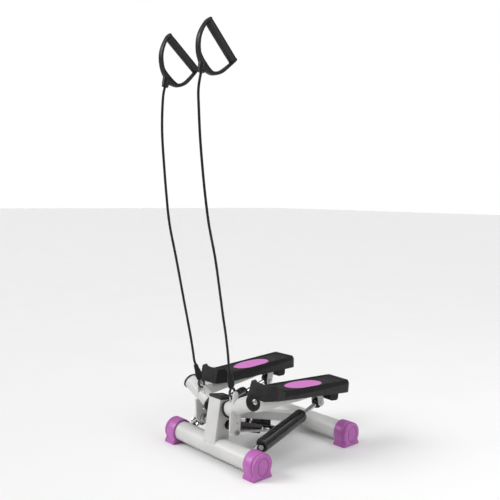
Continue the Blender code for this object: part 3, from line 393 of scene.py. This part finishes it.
def webbing():
    """Two crossing waves make the weave; the sheen is the nap of the polyester."""
    grey = 0.010
    s = Shader("webbing", (grey, grey, grey), 0.80, Sheen_Weight=0.10, Specular_IOR_Level=0.25)
    heights = []
    for turn in (0.78, -0.78):
        wave = s.node("ShaderNodeTexWave", Scale=420.0, Distortion=0.6)
        s.wire(s.stretched((1, 1, 1), (turn, 0.2, 0)), wave.inputs["Vector"])
        heights.append(wave.outputs["Fac"])
    weave = s.node("ShaderNodeMath", operation="MULTIPLY")
    s.wire(heights[0], weave.inputs[0])
    s.wire(heights[1], weave.inputs[1])
    s.tint(weave.outputs["Value"], (grey * 2.6, grey * 2.6, grey * 2.7), 0.1, 0.8)
    s.vary_roughness(s.noise(300, 3), 0.08)
    s.bump(weave.outputs["Value"], 0.6, 0.0004)
    return s.material


def lens_plastic():
    s = Shader("lens_plastic", (0.055, 0.072, 0.066), 0.10, Coat_Weight=0.6, Coat_Roughness=0.05)
    s.tint(s.noise(55, 2), (0.065, 0.085, 0.076))
    s.vary_roughness(s.noise(250, 4), 0.04)
    s.rounded(0.0003)
    return s.material


def board_resin():
    s = Shader("board_resin", (0.03, 0.20, 0.08), 0.48)
    s.tint(s.cells(900), (0.05, 0.26, 0.10), 0.2, 0.6)
    s.vary_roughness(s.noise(400, 3), 0.1)
    s.bump(s.cells(600), 0.2, 0.0002)
    return s.material


MATERIALS = {
    "white_powder_coat": powder_coat(),
    "purple_plastic": cap_plastic(),
    "pink_insert": insert_rubber(),
    "black_plastic": moulded_black("black_nylon", 0.0085, 0.40, 1300, 0.00025),
    "black_rubber": soft_black("black_rubber", 0.008, 0.58, 1600, 0.00015, Specular_IOR_Level=0.3),
    "black_paint": black_enamel(),
    "chrome": chrome_plate(),
    "zinc": zinc_plate("zinc_plate", (0.66, 0.67, 0.68), 0.30),
    "steel": zinc_plate("turned_steel", (0.47, 0.47, 0.48), 0.36),
    "black_webbing": webbing(),
    "display_lens": lens_plastic(),
    "circuit_board": board_resin(),
}
TREAD_PLASTIC = ribbed_black()
GRIP_FOAM = soft_black("grip_foam", 0.007, 0.42, 900, 0.00035, Specular_IOR_Level=0.4)
TUBE_RUBBER = soft_black("latex_tube", 0.006, 0.42, 2400, 0.00008, Specular_IOR_Level=0.3)


# ---------------------------------------------------------------- mesh helpers
def loft(bm, loops, cap_start=True, cap_end=True, joined=False):
    """Skins loops of equal count; a cap is a fan about the loop's middle."""
    rings = [[bm.verts.new(p) for p in loop] for loop in loops]
    pairs = list(zip(rings, rings[1:]))
    if joined:
        pairs.append((rings[-1], rings[0]))
    for a, b in pairs:
        for i in range(len(a)):
            j = (i + 1) % len(a)
            bm.faces.new((a[i], a[j], b[j], b[i]))
    for wanted, loop in ((cap_start, rings[0]), (cap_end, rings[-1])):
        if wanted and not joined:
            middle = bm.verts.new(sum((v.co for v in loop), Vector()) / len(loop))
            for i in range(len(loop)):
                bm.faces.new((loop[i], loop[(i + 1) % len(loop)], middle))


def across(direction, hint=Vector((0, 0, 1))):
    """Two unit vectors at right angles to a direction, the first as near the hint as it can be."""
    direction = direction.normalized()
    if abs(direction.dot(hint)) > 0.95:
        hint = Vector((1, 0, 0))
    first = (hint - direction * direction.dot(hint)).normalized()
    return first, direction.cross(first)


def turned(bm, profile, start, direction, sides=32, joined=False):
    """A lathe shape from (radius, distance) pairs."""
    direction = direction.normalized()
    u, v = across(direction)
    loops = []
    for radius, distance in profile:
        middle = start + direction * distance
        loops.append(
            [
                middle + (u * math.cos(a) + v * math.sin(a)) * max(radius, 0.00005)
                for a in (2 * math.pi * i / sides for i in range(sides))
            ]
        )
    loft(bm, loops, joined=joined)


def tube(bm, points, radius, sides=10, closed=False, ripple=0.0, pitch=1.0):
    """A round bead along points; a ripple makes it swell and shrink like a weld."""
    count = len(points)
    loops = []
    walked = 0.0
    for i, p in enumerate(points):
        ahead = points[(i + 1) % count] if closed or i < count - 1 else p
        behind = points[i - 1] if closed or i > 0 else p
        u, v = across(ahead - behind)
        r = radius * (1 + ripple * math.sin(2 * math.pi * walked / pitch))
        loops.append(
            [
                p + (u * math.cos(a) + v * math.sin(a)) * r
                for a in (2 * math.pi * k / sides for k in range(sides))
            ]
        )
        walked += (ahead - p).length
    loft(bm, loops, joined=closed)


def mark_relief(bm, height_of):
    """Stores how high each point stands, from 0 to 1, for the material to paint a highlight on the
    tops and shade in the hollows.
    """
    layer = bm.verts.layers.float.new("relief")
    for vert in bm.verts:
        vert[layer] = height_of(vert)


def piece(name, bm, slot, body, *stands_for, material=None, sharp=38):
    """Make an object of the mesh, and ride it on its body."""
    bmesh.ops.recalc_face_normals(bm, faces=bm.faces)
    mesh = bpy.data.meshes.new(name)
    bm.to_mesh(mesh)
    bm.free()
    mesh.shade_smooth()
    mesh.set_sharp_from_angle(angle=math.radians(sharp))
    mesh.materials.append(material or MATERIALS[slot])
    obj = bpy.data.objects.new(name, mesh)
    SCENE.collection.objects.link(obj)
    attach(obj, body)
    if stands_for:
        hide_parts(*stands_for)
    return obj


# ---------------------------------------------------------------- bands
def add_cord(name, side):
    """The band's rubber tube, from the strap to the handle."""
    route = cord_route(name, side)
    fine = smooth_path(route, 0.006)
    curve = bpy.data.curves.new(f"{name}_band_cord", "CURVE")
    curve.dimensions = "3D"
    curve.bevel_depth = CORD_DIAMETER / 2
    curve.bevel_resolution = 4
    curve.use_fill_caps = True
    spline = curve.splines.new("POLY")
    spline.points.add(len(fine) - 1)
    for point, place in zip(spline.points, fine):
        point.co = (*place, 1)
    spline.use_smooth = True
    curve.materials.append(TUBE_RUBBER)
    obj = bpy.data.objects.new(f"{name}_band_cord", curve)
    SCENE.collection.objects.link(obj)
    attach(obj, f"{name}_band")
    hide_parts(f"{name}_cord")
    return route


def add_hook(name, side):
    """A forged ring, thin where it hangs in the wire eye and heavier above."""
    hinge, _, up = band_ends(name, side)
    out = up.cross(Vector((1, 0, 0))).normalized()
    centre = hinge + up * (0.0126 - 0.0054)
    bm = bmesh.new()
    loops = []
    steps, sides = 64, 14
    for k in range(steps):
        a = 2 * math.pi * k / steps
        p = centre + out * (0.0092 * math.cos(a)) + up * (0.0126 * math.sin(a))
        ahead = (up * (0.0126 * math.cos(a)) - out * (0.0092 * math.sin(a))).normalized()
        u, v = across(ahead, Vector((1, 0, 0)))
        heavy = 0.5 + 0.5 * math.sin(a)
        r = 0.0027 + 0.0009 * min(1.0, heavy * 1.6) * (1.0 if math.sin(a) < 0.86 else 0.25)
        loops.append(
            [
                p + (u * math.cos(t) + v * math.sin(t)) * r
                for t in (2 * math.pi * i / sides for i in range(sides))
            ]
        )
    loft(bm, loops, joined=True)
    piece(f"{name}_ring", bm, "black_paint", f"{name}_band", f"{name}_hook", sharp=80)


def add_strap(name, side):
    """Webbing folded round the hook and drawn into a sleeve over the cord, with stitched rows."""
    hinge, end, up = band_ends(name, side)
    start = hinge + up * (0.0126 - 0.0054 + 0.0126 + 0.0027 + 2 * GAP)
    length = (end - start).length
    flat = (Vector((1, 0, 0)) - up * up.x).normalized()
    out = up.cross(flat).normalized()
    widths = [(0, 0.0185), (0.08, 0.0208), (0.3, 0.0225), (0.7, 0.0165), (1, 0.0122)]
    depths = [(0, 0.0080), (0.08, 0.0092), (0.3, 0.0110), (0.7, 0.0120), (1, 0.0118)]

    def level(table, t):
        for (t0, a), (t1, b) in zip(table, table[1:]):
            if t <= t1:
                return a + (b - a) * (t - t0) / (t1 - t0)
        return table[-1][1]

    bm = bmesh.new()
    rings, sides = 48, 32
    loops = []
    for i in range(rings + 1):
        t = i / rings
        # rows of stitching pull the sleeve in, and the webbing creases between them
        pinch = sum(math.exp(-(((t - row) / 0.018) ** 2)) for row in (0.16, 0.24, 0.80, 0.88))
        wide = level(depths, t) / 2 * (1 - 0.10 * pinch)
        deep = level(widths, t) / 2 * (1 - 0.06 * pinch)
        loop = []
        for k in range(sides):
            a = 2 * math.pi * k / sides
            c, s = math.cos(a), math.sin(a)
            edge = 0.75 if t < 0.6 else 0.9
            x = math.copysign(abs(c) ** edge, c) * wide
            y = math.copysign(abs(s) ** edge, s) * deep
            p = start + up * (t * length) + flat * x + out * y
            crease = noise.noise(p * 160) * 0.0004
            loop.append(p + (flat * c + out * s) * (crease - 0.0002))
        loops.append(loop)
    loft(bm, loops)
    piece(f"{name}_webbing", bm, "black_webbing", f"{name}_band", f"{name}_strap", sharp=70)

    bm = bmesh.new()
    for row in (0.16, 0.24, 0.80, 0.88):
        deep = level(widths, row) / 2 * 0.80
        wide = level(depths, row) / 2 * 0.90
        for face in (1, -1):
            for k in range(5):
                y = deep * (k - 2) / 2.4
                x = face * wide * math.sqrt(max(0.05, 1 - (y / deep) ** 2)) * 1.02
                middle = start + up * (row * length) + flat * x + out * y
                tube(bm, [middle - out * 0.0010, middle, middle + out * 0.0010], 0.00035, 6)
    piece(f"{name}_stitches", bm, "black_webbing", f"{name}_band", sharp=70)


def add_handle(name, cord):
    """A strap bent into a bow and moulded round both ends of the bar, with a hub for the cord."""
    high, low = (Vector((cord[-1].x, y + FRONT_TUBE_Y, z)) for y, z in GRIPS[name])
    axis = (high - low).normalized()
    middle = (high + low) / 2
    normal = Vector((1, 0, 0))
    out = normal.cross(axis)

    outside, inside = (
        smooth_path([Vector((u, v, 0)) for u, v in half], 0.0030)
        for half in (BOW_OUTSIDE, BOW_INSIDE)
    )
    count = min(len(outside), len(inside))
    pairs = []
    for i in range(count):
        a = outside[round(i * (len(outside) - 1) / (count - 1))]
        b = inside[round(i * (len(inside) - 1) / (count - 1))]
        pairs.append((a, b))
    pairs += [(Vector((-a.x, a.y, 0)), Vector((-b.x, b.y, 0))) for a, b in reversed(pairs)]
    bm = bmesh.new()
    loops = []
    sides = 20
    last = len(pairs) - 1
    for number, (a, b) in enumerate(pairs):
        a, b = (Vector((p.x - 1.67 * p.y * abs(p.y), p.y, 0)) for p in (a, b))
        centre, reach = (a + b) / 2, (a - b) / 2
        from_end = min(number, last - number)
        rounding = (0.45, 0.82, 0.96)[from_end] if from_end < 3 else 1.0
        loop = []
        for k in range(sides):
            t = 2 * math.pi * (k + 0.5) / sides
            c, s = math.cos(t), math.sin(t)
            across_strap = math.copysign(abs(c) ** 0.45, c) * BOW_WIDTH / 2 * rounding
            flat = centre + reach * (math.copysign(abs(s) ** 0.6, s) * rounding)
            loop.append(middle + axis * flat.x + out * flat.y + normal * across_strap)
        loops.append(loop)
    loft(bm, loops)
    half = BOW_OUTSIDE[0][0]
    for s in (-1, 1):
        cap = [(0.0085, 0.0), (0.0112, 0.0006), (0.0122, 0.0018)]
        cap += [(0.0122, 0.0046), (0.0114, 0.0055), (0.0090, 0.0058)]
        cap = [(0.0060, 0.0002), *cap]
        turned(bm, cap, middle + axis * s * half, axis * -s, 32)
    turned(bm, [(0.0068, -half + 0.002), (0.0068, half - 0.002)], middle, axis, 24)
    lead = (cord[-1] - cord[-2]).normalized()
    hub = [(0.0060, GAP), (0.0084, 0.0006), (0.0093, 0.0020)]
    hub += [(0.0093, 0.0055), (0.0086, 0.0062), (0.0088, 0.0072)]
    hub += [(0.0100, 0.0080), (0.0105, 0.0180), (0.0111, 0.0240), (0.0096, 0.0262)]
    turned(bm, hub, cord[-1], lead, 32)
    piece(f"{name}_bow", bm, "black_plastic", f"{name}_band", f"{name}_handle_frame", sharp=50)

    length = half - 0.0058
    bm = bmesh.new()
    inner = 0.0074
    profile = [(inner, -length), (GRIP_RADIUS - 0.0012, -length)]
    profile += [(GRIP_RADIUS - 0.0003, -length + 0.0006)]
    steps = 64
    for i in range(steps + 1):
        h = -length + 0.0012 + (2 * length - 0.0024) * i / steps
        end = max(0.0, abs(h) - (length - 0.014))
        ridge = -0.00035 * (0.5 + 0.5 * math.cos(2 * math.pi * end / 0.0035)) if end > 0 else 0.0
        profile.append((GRIP_RADIUS + ridge, h))
    profile += [(GRIP_RADIUS - 0.0003, length - 0.0006)]
    profile += [(GRIP_RADIUS - 0.0012, length), (inner, length)]
    turned(bm, profile, middle, axis, 40, joined=True)
    piece(
        f"{name}_foam_grip",
        bm,
        "black_rubber",
        f"{name}_grip",
        f"{name}_grip",
        material=GRIP_FOAM,
        sharp=60,
    )


# ---------------------------------------------------------------- pedals
def pedal_matrix(side):
    """From the left pedal's own axes to the world, mirrored for the right side."""
    yaw, pitch, roll = PEDAL_TURN
    turn = Matrix.Rotation(yaw, 4, "Z") @ Matrix.Rotation(pitch, 4, "X")
    turn = turn @ Matrix.Rotation(roll, 4, "Y")
    level = Matrix.Translation(PEDAL_ORIGIN - PIVOT) @ turn
    flip = Matrix.Scale(-1, 4, (1, 0, 0)) if side < 0 else Matrix()
    swing = rest_turn(side).to_matrix().to_4x4()
    return Matrix.Translation(PIVOT + TO_WORLD) @ swing @ flip @ level


def tread_base(v):
    """Height of the dished tread above the pedal's bottom."""
    return 0.0255 + 0.0118 * max(0.0, v - 0.062) / (PEDAL_LENGTH - 0.062) - PEDAL_DISH


def bump_at(distance, width):
    """A rounded ridge: 1 on its line, 0 at its width."""
    return max(0.0, 1 - (distance / width) ** 2)


RIDGE = 0.0011
RIB_PITCH = 0.0050
ARC_WIDTH = 0.0015
TOE_ARC_CENTRE, TOE_ARC_RADIUS = 0.180, 0.0880
HEEL_CENTRE, HEEL_ARC_RADIUS = PEDAL_LENGTH + 0.004, 0.0740


def leaf_distance(u, v):
    """Roughly how far a point is outside the leaf's edge."""
    r = math.hypot(u / LEAF_HALF_WIDTH, (v - LEAF_CENTRE) / LEAF_HALF_LENGTH)
    return (r - 1) * LEAF_HALF_WIDTH * (1 + 0.6 * abs(v - LEAF_CENTRE) / LEAF_HALF_LENGTH)


def relief(u, v):
    """Ribs that follow the leaf, an arc before it, and a fan of ribs at the heel."""
    height = 0.0
    gap = leaf_distance(u, v)
    if 0.0026 < gap < 0.0205:
        height += 0.0007 * (0.5 + 0.5 * math.cos(2 * math.pi * (gap - 0.0045) / RIB_PITCH))
    toe = math.hypot(u, v - TOE_ARC_CENTRE) - TOE_ARC_RADIUS
    height += RIDGE * bump_at(toe, ARC_WIDTH) if v < 0.13 else 0.0
    heel = math.hypot(u, v - HEEL_CENTRE)
    if heel < 0.0760:
        height += RIDGE * bump_at(heel - HEEL_ARC_RADIUS, ARC_WIDTH)
        if heel < 0.0715:
            height += 0.0008 * (0.5 + 0.5 * math.cos(2 * math.pi * heel / RIB_PITCH))
            height *= 0.70 + 0.30 * math.cos(2 * math.pi * u / RIB_PITCH)
    return height


def add_tread(name, side):
    """The ribbed surface that the shoe stands on, a thin skin over the moulded pedal."""
    place = pedal_matrix(side)
    columns, rows = 64, 216
    bm = bmesh.new()
    grid = []
    for j in range(rows + 1):
        v = TREAD_START + (TREAD_END - TREAD_START) * j / rows
        line = []
        for i in range(columns + 1):
            u = TREAD_HALF * (2 * i / columns - 1)
            if v < 0.062:
                u *= 0.94 - 0.06 * (0.062 - v) / 0.017
            edge = min(1.0, (1 - abs(2 * i / columns - 1)) * columns / 2 / 2.0)
            end = min(1.0, min(j, rows - j) / 2.0)
            skin = 0.0004 * min(edge, end) - 0.0002
            line.append(bm.verts.new((u, v, tread_base(v) + skin + relief(u, v) * min(edge, end))))
        grid.append(line)
    for j in range(rows):
        for i in range(columns):
            corners = (grid[j][i], grid[j][i + 1], grid[j + 1][i + 1], grid[j + 1][i])
            middle = sum((c.co for c in corners), Vector()) / 4
            if leaf_distance(middle.x, middle.y) > 0.0002:
                bm.faces.new(corners)
    bmesh.ops.delete(bm, geom=[v for v in bm.verts if not v.link_faces], context="VERTS")
    # the raised lip round the leaf covers the skin's inner edge
    lip = []
    for k in range(120):
        a = 2 * math.pi * k / 120
        u = math.cos(a) * (LEAF_HALF_WIDTH + 0.0011)
        v = LEAF_CENTRE + math.sin(a) * (LEAF_HALF_LENGTH + 0.0011)
        lip.append(Vector((u, v, tread_base(v) + 0.0001)))
    tube(bm, lip, 0.0009, 8, closed=True)
    mark_relief(bm, lambda vert: min(1.0, max(0.0, vert.co.z - tread_base(vert.co.y)) / RIDGE))
    bm.transform(place)
    piece(f"{name}_tread", bm, "black_plastic", f"{name}_arm", material=TREAD_PLASTIC, sharp=180)


STUD = 0.0011
STUD_PITCH = 0.0068


def add_insert(name, side):
    """The leaf: crowned, with cross ribs cut into rows of small studs."""
    place = pedal_matrix(side)
    across_count, along_count = 56, 116
    bm = bmesh.new()
    top, bottom, heights = [], [], {}
    for j in range(along_count + 1):
        t = 2 * j / along_count - 1
        top_line, bottom_line = [], []
        for i in range(across_count + 1):
            s = 2 * i / across_count - 1
            # a square spread evenly over a disc
            x, y = s * math.sqrt(1 - t * t / 2), t * math.sqrt(1 - s * s / 2)
            u, v = x * LEAF_HALF_WIDTH, LEAF_CENTRE + y * LEAF_HALF_LENGTH
            r = min(1.0, math.hypot(x, y))
            crown = 0.0010 * (1 - r**4)
            rib = 0.5 + 0.5 * math.cos(2 * math.pi * v / STUD_PITCH)
            stud = 0.5 + 0.5 * math.cos(2 * math.pi * u / STUD_PITCH)
            relief_height = STUD * rib * (0.50 + 0.50 * stud) * min(1.0, (1 - r) * 12)
            heights[(i, j)] = relief_height / STUD
            edge = -0.0007 * max(0.0, (r - 0.97) / 0.03)
            base = tread_base(v)
            top_line.append(bm.verts.new((u, v, base + crown + relief_height + edge)))
            bottom_line.append((u, v, base - 0.0012))
        top.append(top_line)
        bottom.append(bottom_line)
    for j in range(along_count):
        for i in range(across_count):
            bm.faces.new((top[j][i], top[j][i + 1], top[j + 1][i + 1], top[j + 1][i]))
    rim = [(0, i) for i in range(across_count)]
    rim += [(j, across_count) for j in range(along_count)]
    rim += [(along_count, i) for i in range(across_count, 0, -1)]
    rim += [(j, 0) for j in range(along_count, 0, -1)]
    lower = [bm.verts.new(bottom[j][i]) for j, i in rim]
    for k in range(len(rim)):
        m = (k + 1) % len(rim)
        a, b = top[rim[k][0]][rim[k][1]], top[rim[m][0]][rim[m][1]]
        bm.faces.new((a, lower[k], lower[m], b))
    centre = bm.verts.new((0, LEAF_CENTRE, tread_base(LEAF_CENTRE) - 0.0012))
    for k in range(len(rim)):
        bm.faces.new((lower[k], centre, lower[(k + 1) % len(rim)]))
    of_vert = {
        top[j][i]: heights[(i, j)]
        for j in range(along_count + 1)
        for i in range(across_count + 1)
    }
    mark_relief(bm, lambda vert: of_vert.get(vert, 0.0))
    bm.transform(place)
    piece(f"{name}_leaf", bm, "pink_insert", f"{name}_arm", f"{name}_pedal_insert", sharp=60)


# ---------------------------------------------------------------- end caps
def foot_radius(angle):
    """Distance from the tube's axis to the cap's outline: round top, waist, flared base."""
    radius, base, waist_height = 0.0345, 0.0340, 0.0165
    lower = math.asin(0.0125 / radius)
    corner = math.atan2(-TUBE_HEIGHT, base)
    folded = angle if math.cos(angle) >= 0 else math.pi - angle
    folded = math.atan2(math.sin(folded), math.cos(folded))
    if folded >= -lower:
        return radius
    waist = (0.0292, waist_height - TUBE_HEIGHT)
    ankle = (0.0302, 0.0110 - TUBE_HEIGHT)
    sole = (base, 0.0045 - TUBE_HEIGHT)
    toe = (base, -TUBE_HEIGHT)
    shoulder = (radius * math.cos(-lower), radius * math.sin(-lower))
    if folded <= corner:
        return TUBE_HEIGHT / -math.sin(folded)
    direction = (math.cos(folded), math.sin(folded))
    for p, q in ((shoulder, waist), (waist, ankle), (ankle, sole), (sole, toe)):
        ex, ey = q[0] - p[0], q[1] - p[1]
        det = direction[0] * -ey + direction[1] * ex
        if abs(det) < 1e-12:
            continue
        r = (p[0] * -ey + p[1] * ex) / det
        t = (direction[0] * p[1] - direction[1] * p[0]) / det
        if -1e-6 <= t <= 1 + 1e-6 and r > 0:
            return r
    return radius


def add_foot(node, slot="purple_plastic"):
    """A cap moulded over the tube's end: sleeve, groove and rounded face with an oval boss."""
    low, high = (Vector(c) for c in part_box(node))
    outward = 1 if high.x + low.x > 0 else -1
    open_end = low.x if outward > 0 else high.x
    depth = high.x - low.x
    y = (low.y + high.y) / 2
    steps = 96
    corner = math.atan2(-TUBE_HEIGHT, 0.0340)
    angles = [2 * math.pi * k / steps + math.pi / steps for k in range(steps)]
    for target in (corner, math.pi - corner):
        target = math.atan2(math.sin(target), math.cos(target)) % (2 * math.pi)
        nearest = min(range(steps), key=lambda k: abs(angles[k] - target))
        angles[nearest] = target

    def outline(along, inset, oval=None, blend=0.0):
        loop = []
        for a in angles:
            r = foot_radius(a) - inset
            if oval:
                wide, tall = oval
                ellipse = 1 / math.hypot(math.cos(a) / wide, math.sin(a) / tall)
                r = r * (1 - blend) + ellipse * blend
            z = TUBE_HEIGHT + math.sin(a) * r
            if oval:
                z -= 0.002 * blend
            z = max(z, 0.0)
            loop.append(Vector((open_end + outward * along, y + math.cos(a) * r, z)))
        return loop

    def circle(along, radius):
        loop = []
        for a in angles:
            height = TUBE_HEIGHT + math.sin(a) * radius
            loop.append(Vector((open_end + outward * along, y + math.cos(a) * radius, height)))
        return loop

    bore = TUBE_RADIUS + GAP
    loops = [circle(0.0363, 0.004), circle(0.0363, bore)]
    loops += [circle(0.0012, bore), circle(0.0, bore + 0.0008)]
    loops += [outline(0.0, 0.0012), outline(0.0005, 0.0004), outline(0.0014, 0.0)]
    loops += [outline(a, 0.0) for a in (0.012, 0.024, 0.0335)]
    loops += [outline(0.0338, 0.0004), outline(0.0343, 0.0017)]
    loops += [outline(0.0357, 0.0017), outline(0.0362, 0.0004)]
    loops += [outline(0.0368, 0.0), outline(0.0405, 0.0)]
    loops += [outline(0.0425, 0.0006), outline(0.0440, 0.0018)]
    loops += [outline(depth - 0.0003, 0.0034), outline(depth, 0.0050)]
    boss = (0.0205, 0.0255)
    loops += [outline(depth, 0.006, boss, 1.0)]
    for along, size in (
        (-0.0005, 0.0005),
        (-0.0020, 0.0011),
        (-0.0020, 0.0026),
        (-0.0004, 0.0033),
        (0.0, 0.0044),
    ):
        loops.append(outline(depth + along, 0.0, (boss[0] - size, boss[1] - size), 1.0))
    loops.append(outline(depth, 0.0, (0.0085, 0.0115), 1.0))
    bm = bmesh.new()
    loft(bm, loops)
    piece(f"{node}_cap", bm, slot, "frame", node, sharp=55)


# ---------------------------------------------------------------- welds
def surface_of(*nodes):
    """Ray test against the CAD meshes."""
    bm = bmesh.new()
    for node in nodes:
        bm.from_mesh(NODES[node].data)
    tree = BVHTree.FromBMesh(bm)
    bm.free()
    return tree


def rounded_rectangle(wide, deep, corner, spacing):
    """Points round a rectangle with round corners, evenly spaced."""
    points = []
    for cx, cy, start in ((1, 1, 0), (-1, 1, 90), (-1, -1, 180), (1, -1, 270)):
        for k in range(7):
            a = math.radians(start + 15 * k)
            x = cx * (wide / 2 - corner) + corner * math.cos(a)
            points.append(Vector((x, cy * (deep / 2 - corner) + corner * math.sin(a), 0)))
    fine = []
    for p, q in zip(points, points[1:] + points[:1]):
        count = max(1, round((q - p).length / spacing))
        fine += [p.lerp(q, k / count) for k in range(count)]
    return fine


def add_weld(name, section, place, direction, target, reach):
    """A bead where a tube of this section, run along a direction, meets the target's surface."""
    tree = surface_of(target)
    turn = place.to_3x3()
    path = []
    for p in rounded_rectangle(*section, 0.0035, 0.0014):
        start = place @ p
        hit = tree.ray_cast(start, turn @ direction, reach)
        if hit[0] is not None:
            path.append(hit[0])
    if len(path) < 20:
        return
    runs = [[path[0]]]
    for p, q in zip(path, path[1:]):
        if (q - p).length > 0.006:
            runs.append([])
        runs[-1].append(q)
    bm = bmesh.new()
    whole = len(runs) == 1 and (path[0] - path[-1]).length < 0.006
    for run in runs:
        if len(run) > 3:
            tube(bm, run, 0.0017, 8, closed=whole, ripple=0.16, pitch=0.0038)
    piece(name, bm, "white_powder_coat", "frame", sharp=180)


def add_welds():
    """Beads where the post and the beam meet the cross tubes."""
    post = Matrix.Translation(POST_FOOT + TO_WORLD) @ Matrix.Rotation(-POST_LEAN, 4, "X")
    high = post @ Matrix.Translation((0, 0, 0.12))
    add_weld("post_weld", (POST_SIZE, POST_SIZE), high, Vector((0, 0, -1)), "front_cross_tube", 0.2)
    beam = Matrix.Translation(BEAM_POINT + TO_WORLD) @ Matrix.Rotation(-BEAM_SLOPE, 4, "X")
    flat = beam @ Matrix(((1, 0, 0, 0), (0, 0, 1, 0), (0, -1, 0, 0), (0, 0, 0, 1)))
    add_weld("beam_rear_weld", BEAM_SIZE, flat, Vector((0, 0, 1)), "rear_cross_tube", 0.3)
    add_weld("beam_front_weld", BEAM_SIZE, flat, Vector((0, 0, -1)), "front_post", 0.3)


# ---------------------------------------------------------------- CAD nodes
def finish_nodes():
    """Gives each CAD node its detailed material."""
    slots = {row["node"]: row["material_slot"] for row in frame["record"]["subparts"]}
    for name, node in NODES.items():
        material = MATERIALS[slots[name]]
        if not node.data.materials:
            node.data.materials.append(material)
        for i in range(len(node.material_slots)):
            node.material_slots[i].material = material


# ---------------------------------------------------------------- studio
SURROUND, BACKDROP = 0.24, 1.0  # strengths of the world as light and as seen


def add_studio():
    """Pale floor, two soft suns, a side lamp and a plain surround."""
    floor_mesh = bpy.data.meshes.new("floor")
    bm = bmesh.new()
    bmesh.ops.create_grid(bm, x_segments=2, y_segments=2, size=30)
    bm.to_mesh(floor_mesh)
    bm.free()
    floor = bpy.data.objects.new("floor", floor_mesh)
    SCENE.collection.objects.link(floor)
    pale = Shader("floor_paper", (0.86, 0.86, 0.86), 0.85)
    pale.tint(pale.noise(3, 2), (0.85, 0.85, 0.85))
    floor_mesh.materials.append(pale.material)

    # two wide suns light the floor evenly; the disc draws the highlights along round black pieces
    lights = (
        ("key", (-1.3, -1.7, 1.7), 32, 2.0),
        ("top", (0.3, 0.5, 3.0), 70, 1.35),
        ("side", (2.4, 0.3, 1.7), 1.1, 16.0),
    )
    aim = Vector((0, 0, 0.25))
    for name, place, size, power in lights:
        data = bpy.data.lights.new(name, "AREA" if name == "side" else "SUN")
        data.energy = power
        if name == "side":
            data.shape = "DISK"
            data.size = size
        else:
            data.angle = math.radians(size)
        light = bpy.data.objects.new(name, data)
        light.location = place
        light.rotation_euler = (aim - Vector(place)).to_track_quat("-Z", "Y").to_euler()
        SCENE.collection.objects.link(light)
    world = bpy.data.worlds.new("studio")
    world.use_nodes = True
    nodes, links = world.node_tree.nodes, world.node_tree.links
    background = nodes["Background"]
    background.inputs["Color"].default_value = (1, 1, 1, 1)
    # the backdrop is seen white, and lights the object as a dimmer surround
    seen = nodes.new("ShaderNodeMapRange")
    seen.inputs["To Min"].default_value = SURROUND
    seen.inputs["To Max"].default_value = BACKDROP
    links.new(nodes.new("ShaderNodeLightPath").outputs["Is Camera Ray"], seen.inputs["Value"])
    links.new(seen.outputs["Result"], background.inputs["Strength"])
    SCENE.world = world
    SCENE.view_settings.view_transform = "Standard"


add_camera()
for side_name, sign in SIDES:
    points = add_cord(side_name, sign)
    add_hook(side_name, sign)
    add_strap(side_name, sign)
    add_handle(side_name, points)
    add_tread(side_name, sign)
    add_insert(side_name, sign)
for cap_node in ("front_left_foot", "front_right_foot", "rear_left_foot", "rear_right_foot"):
    add_foot(cap_node)
add_welds()
finish_nodes()
add_studio()
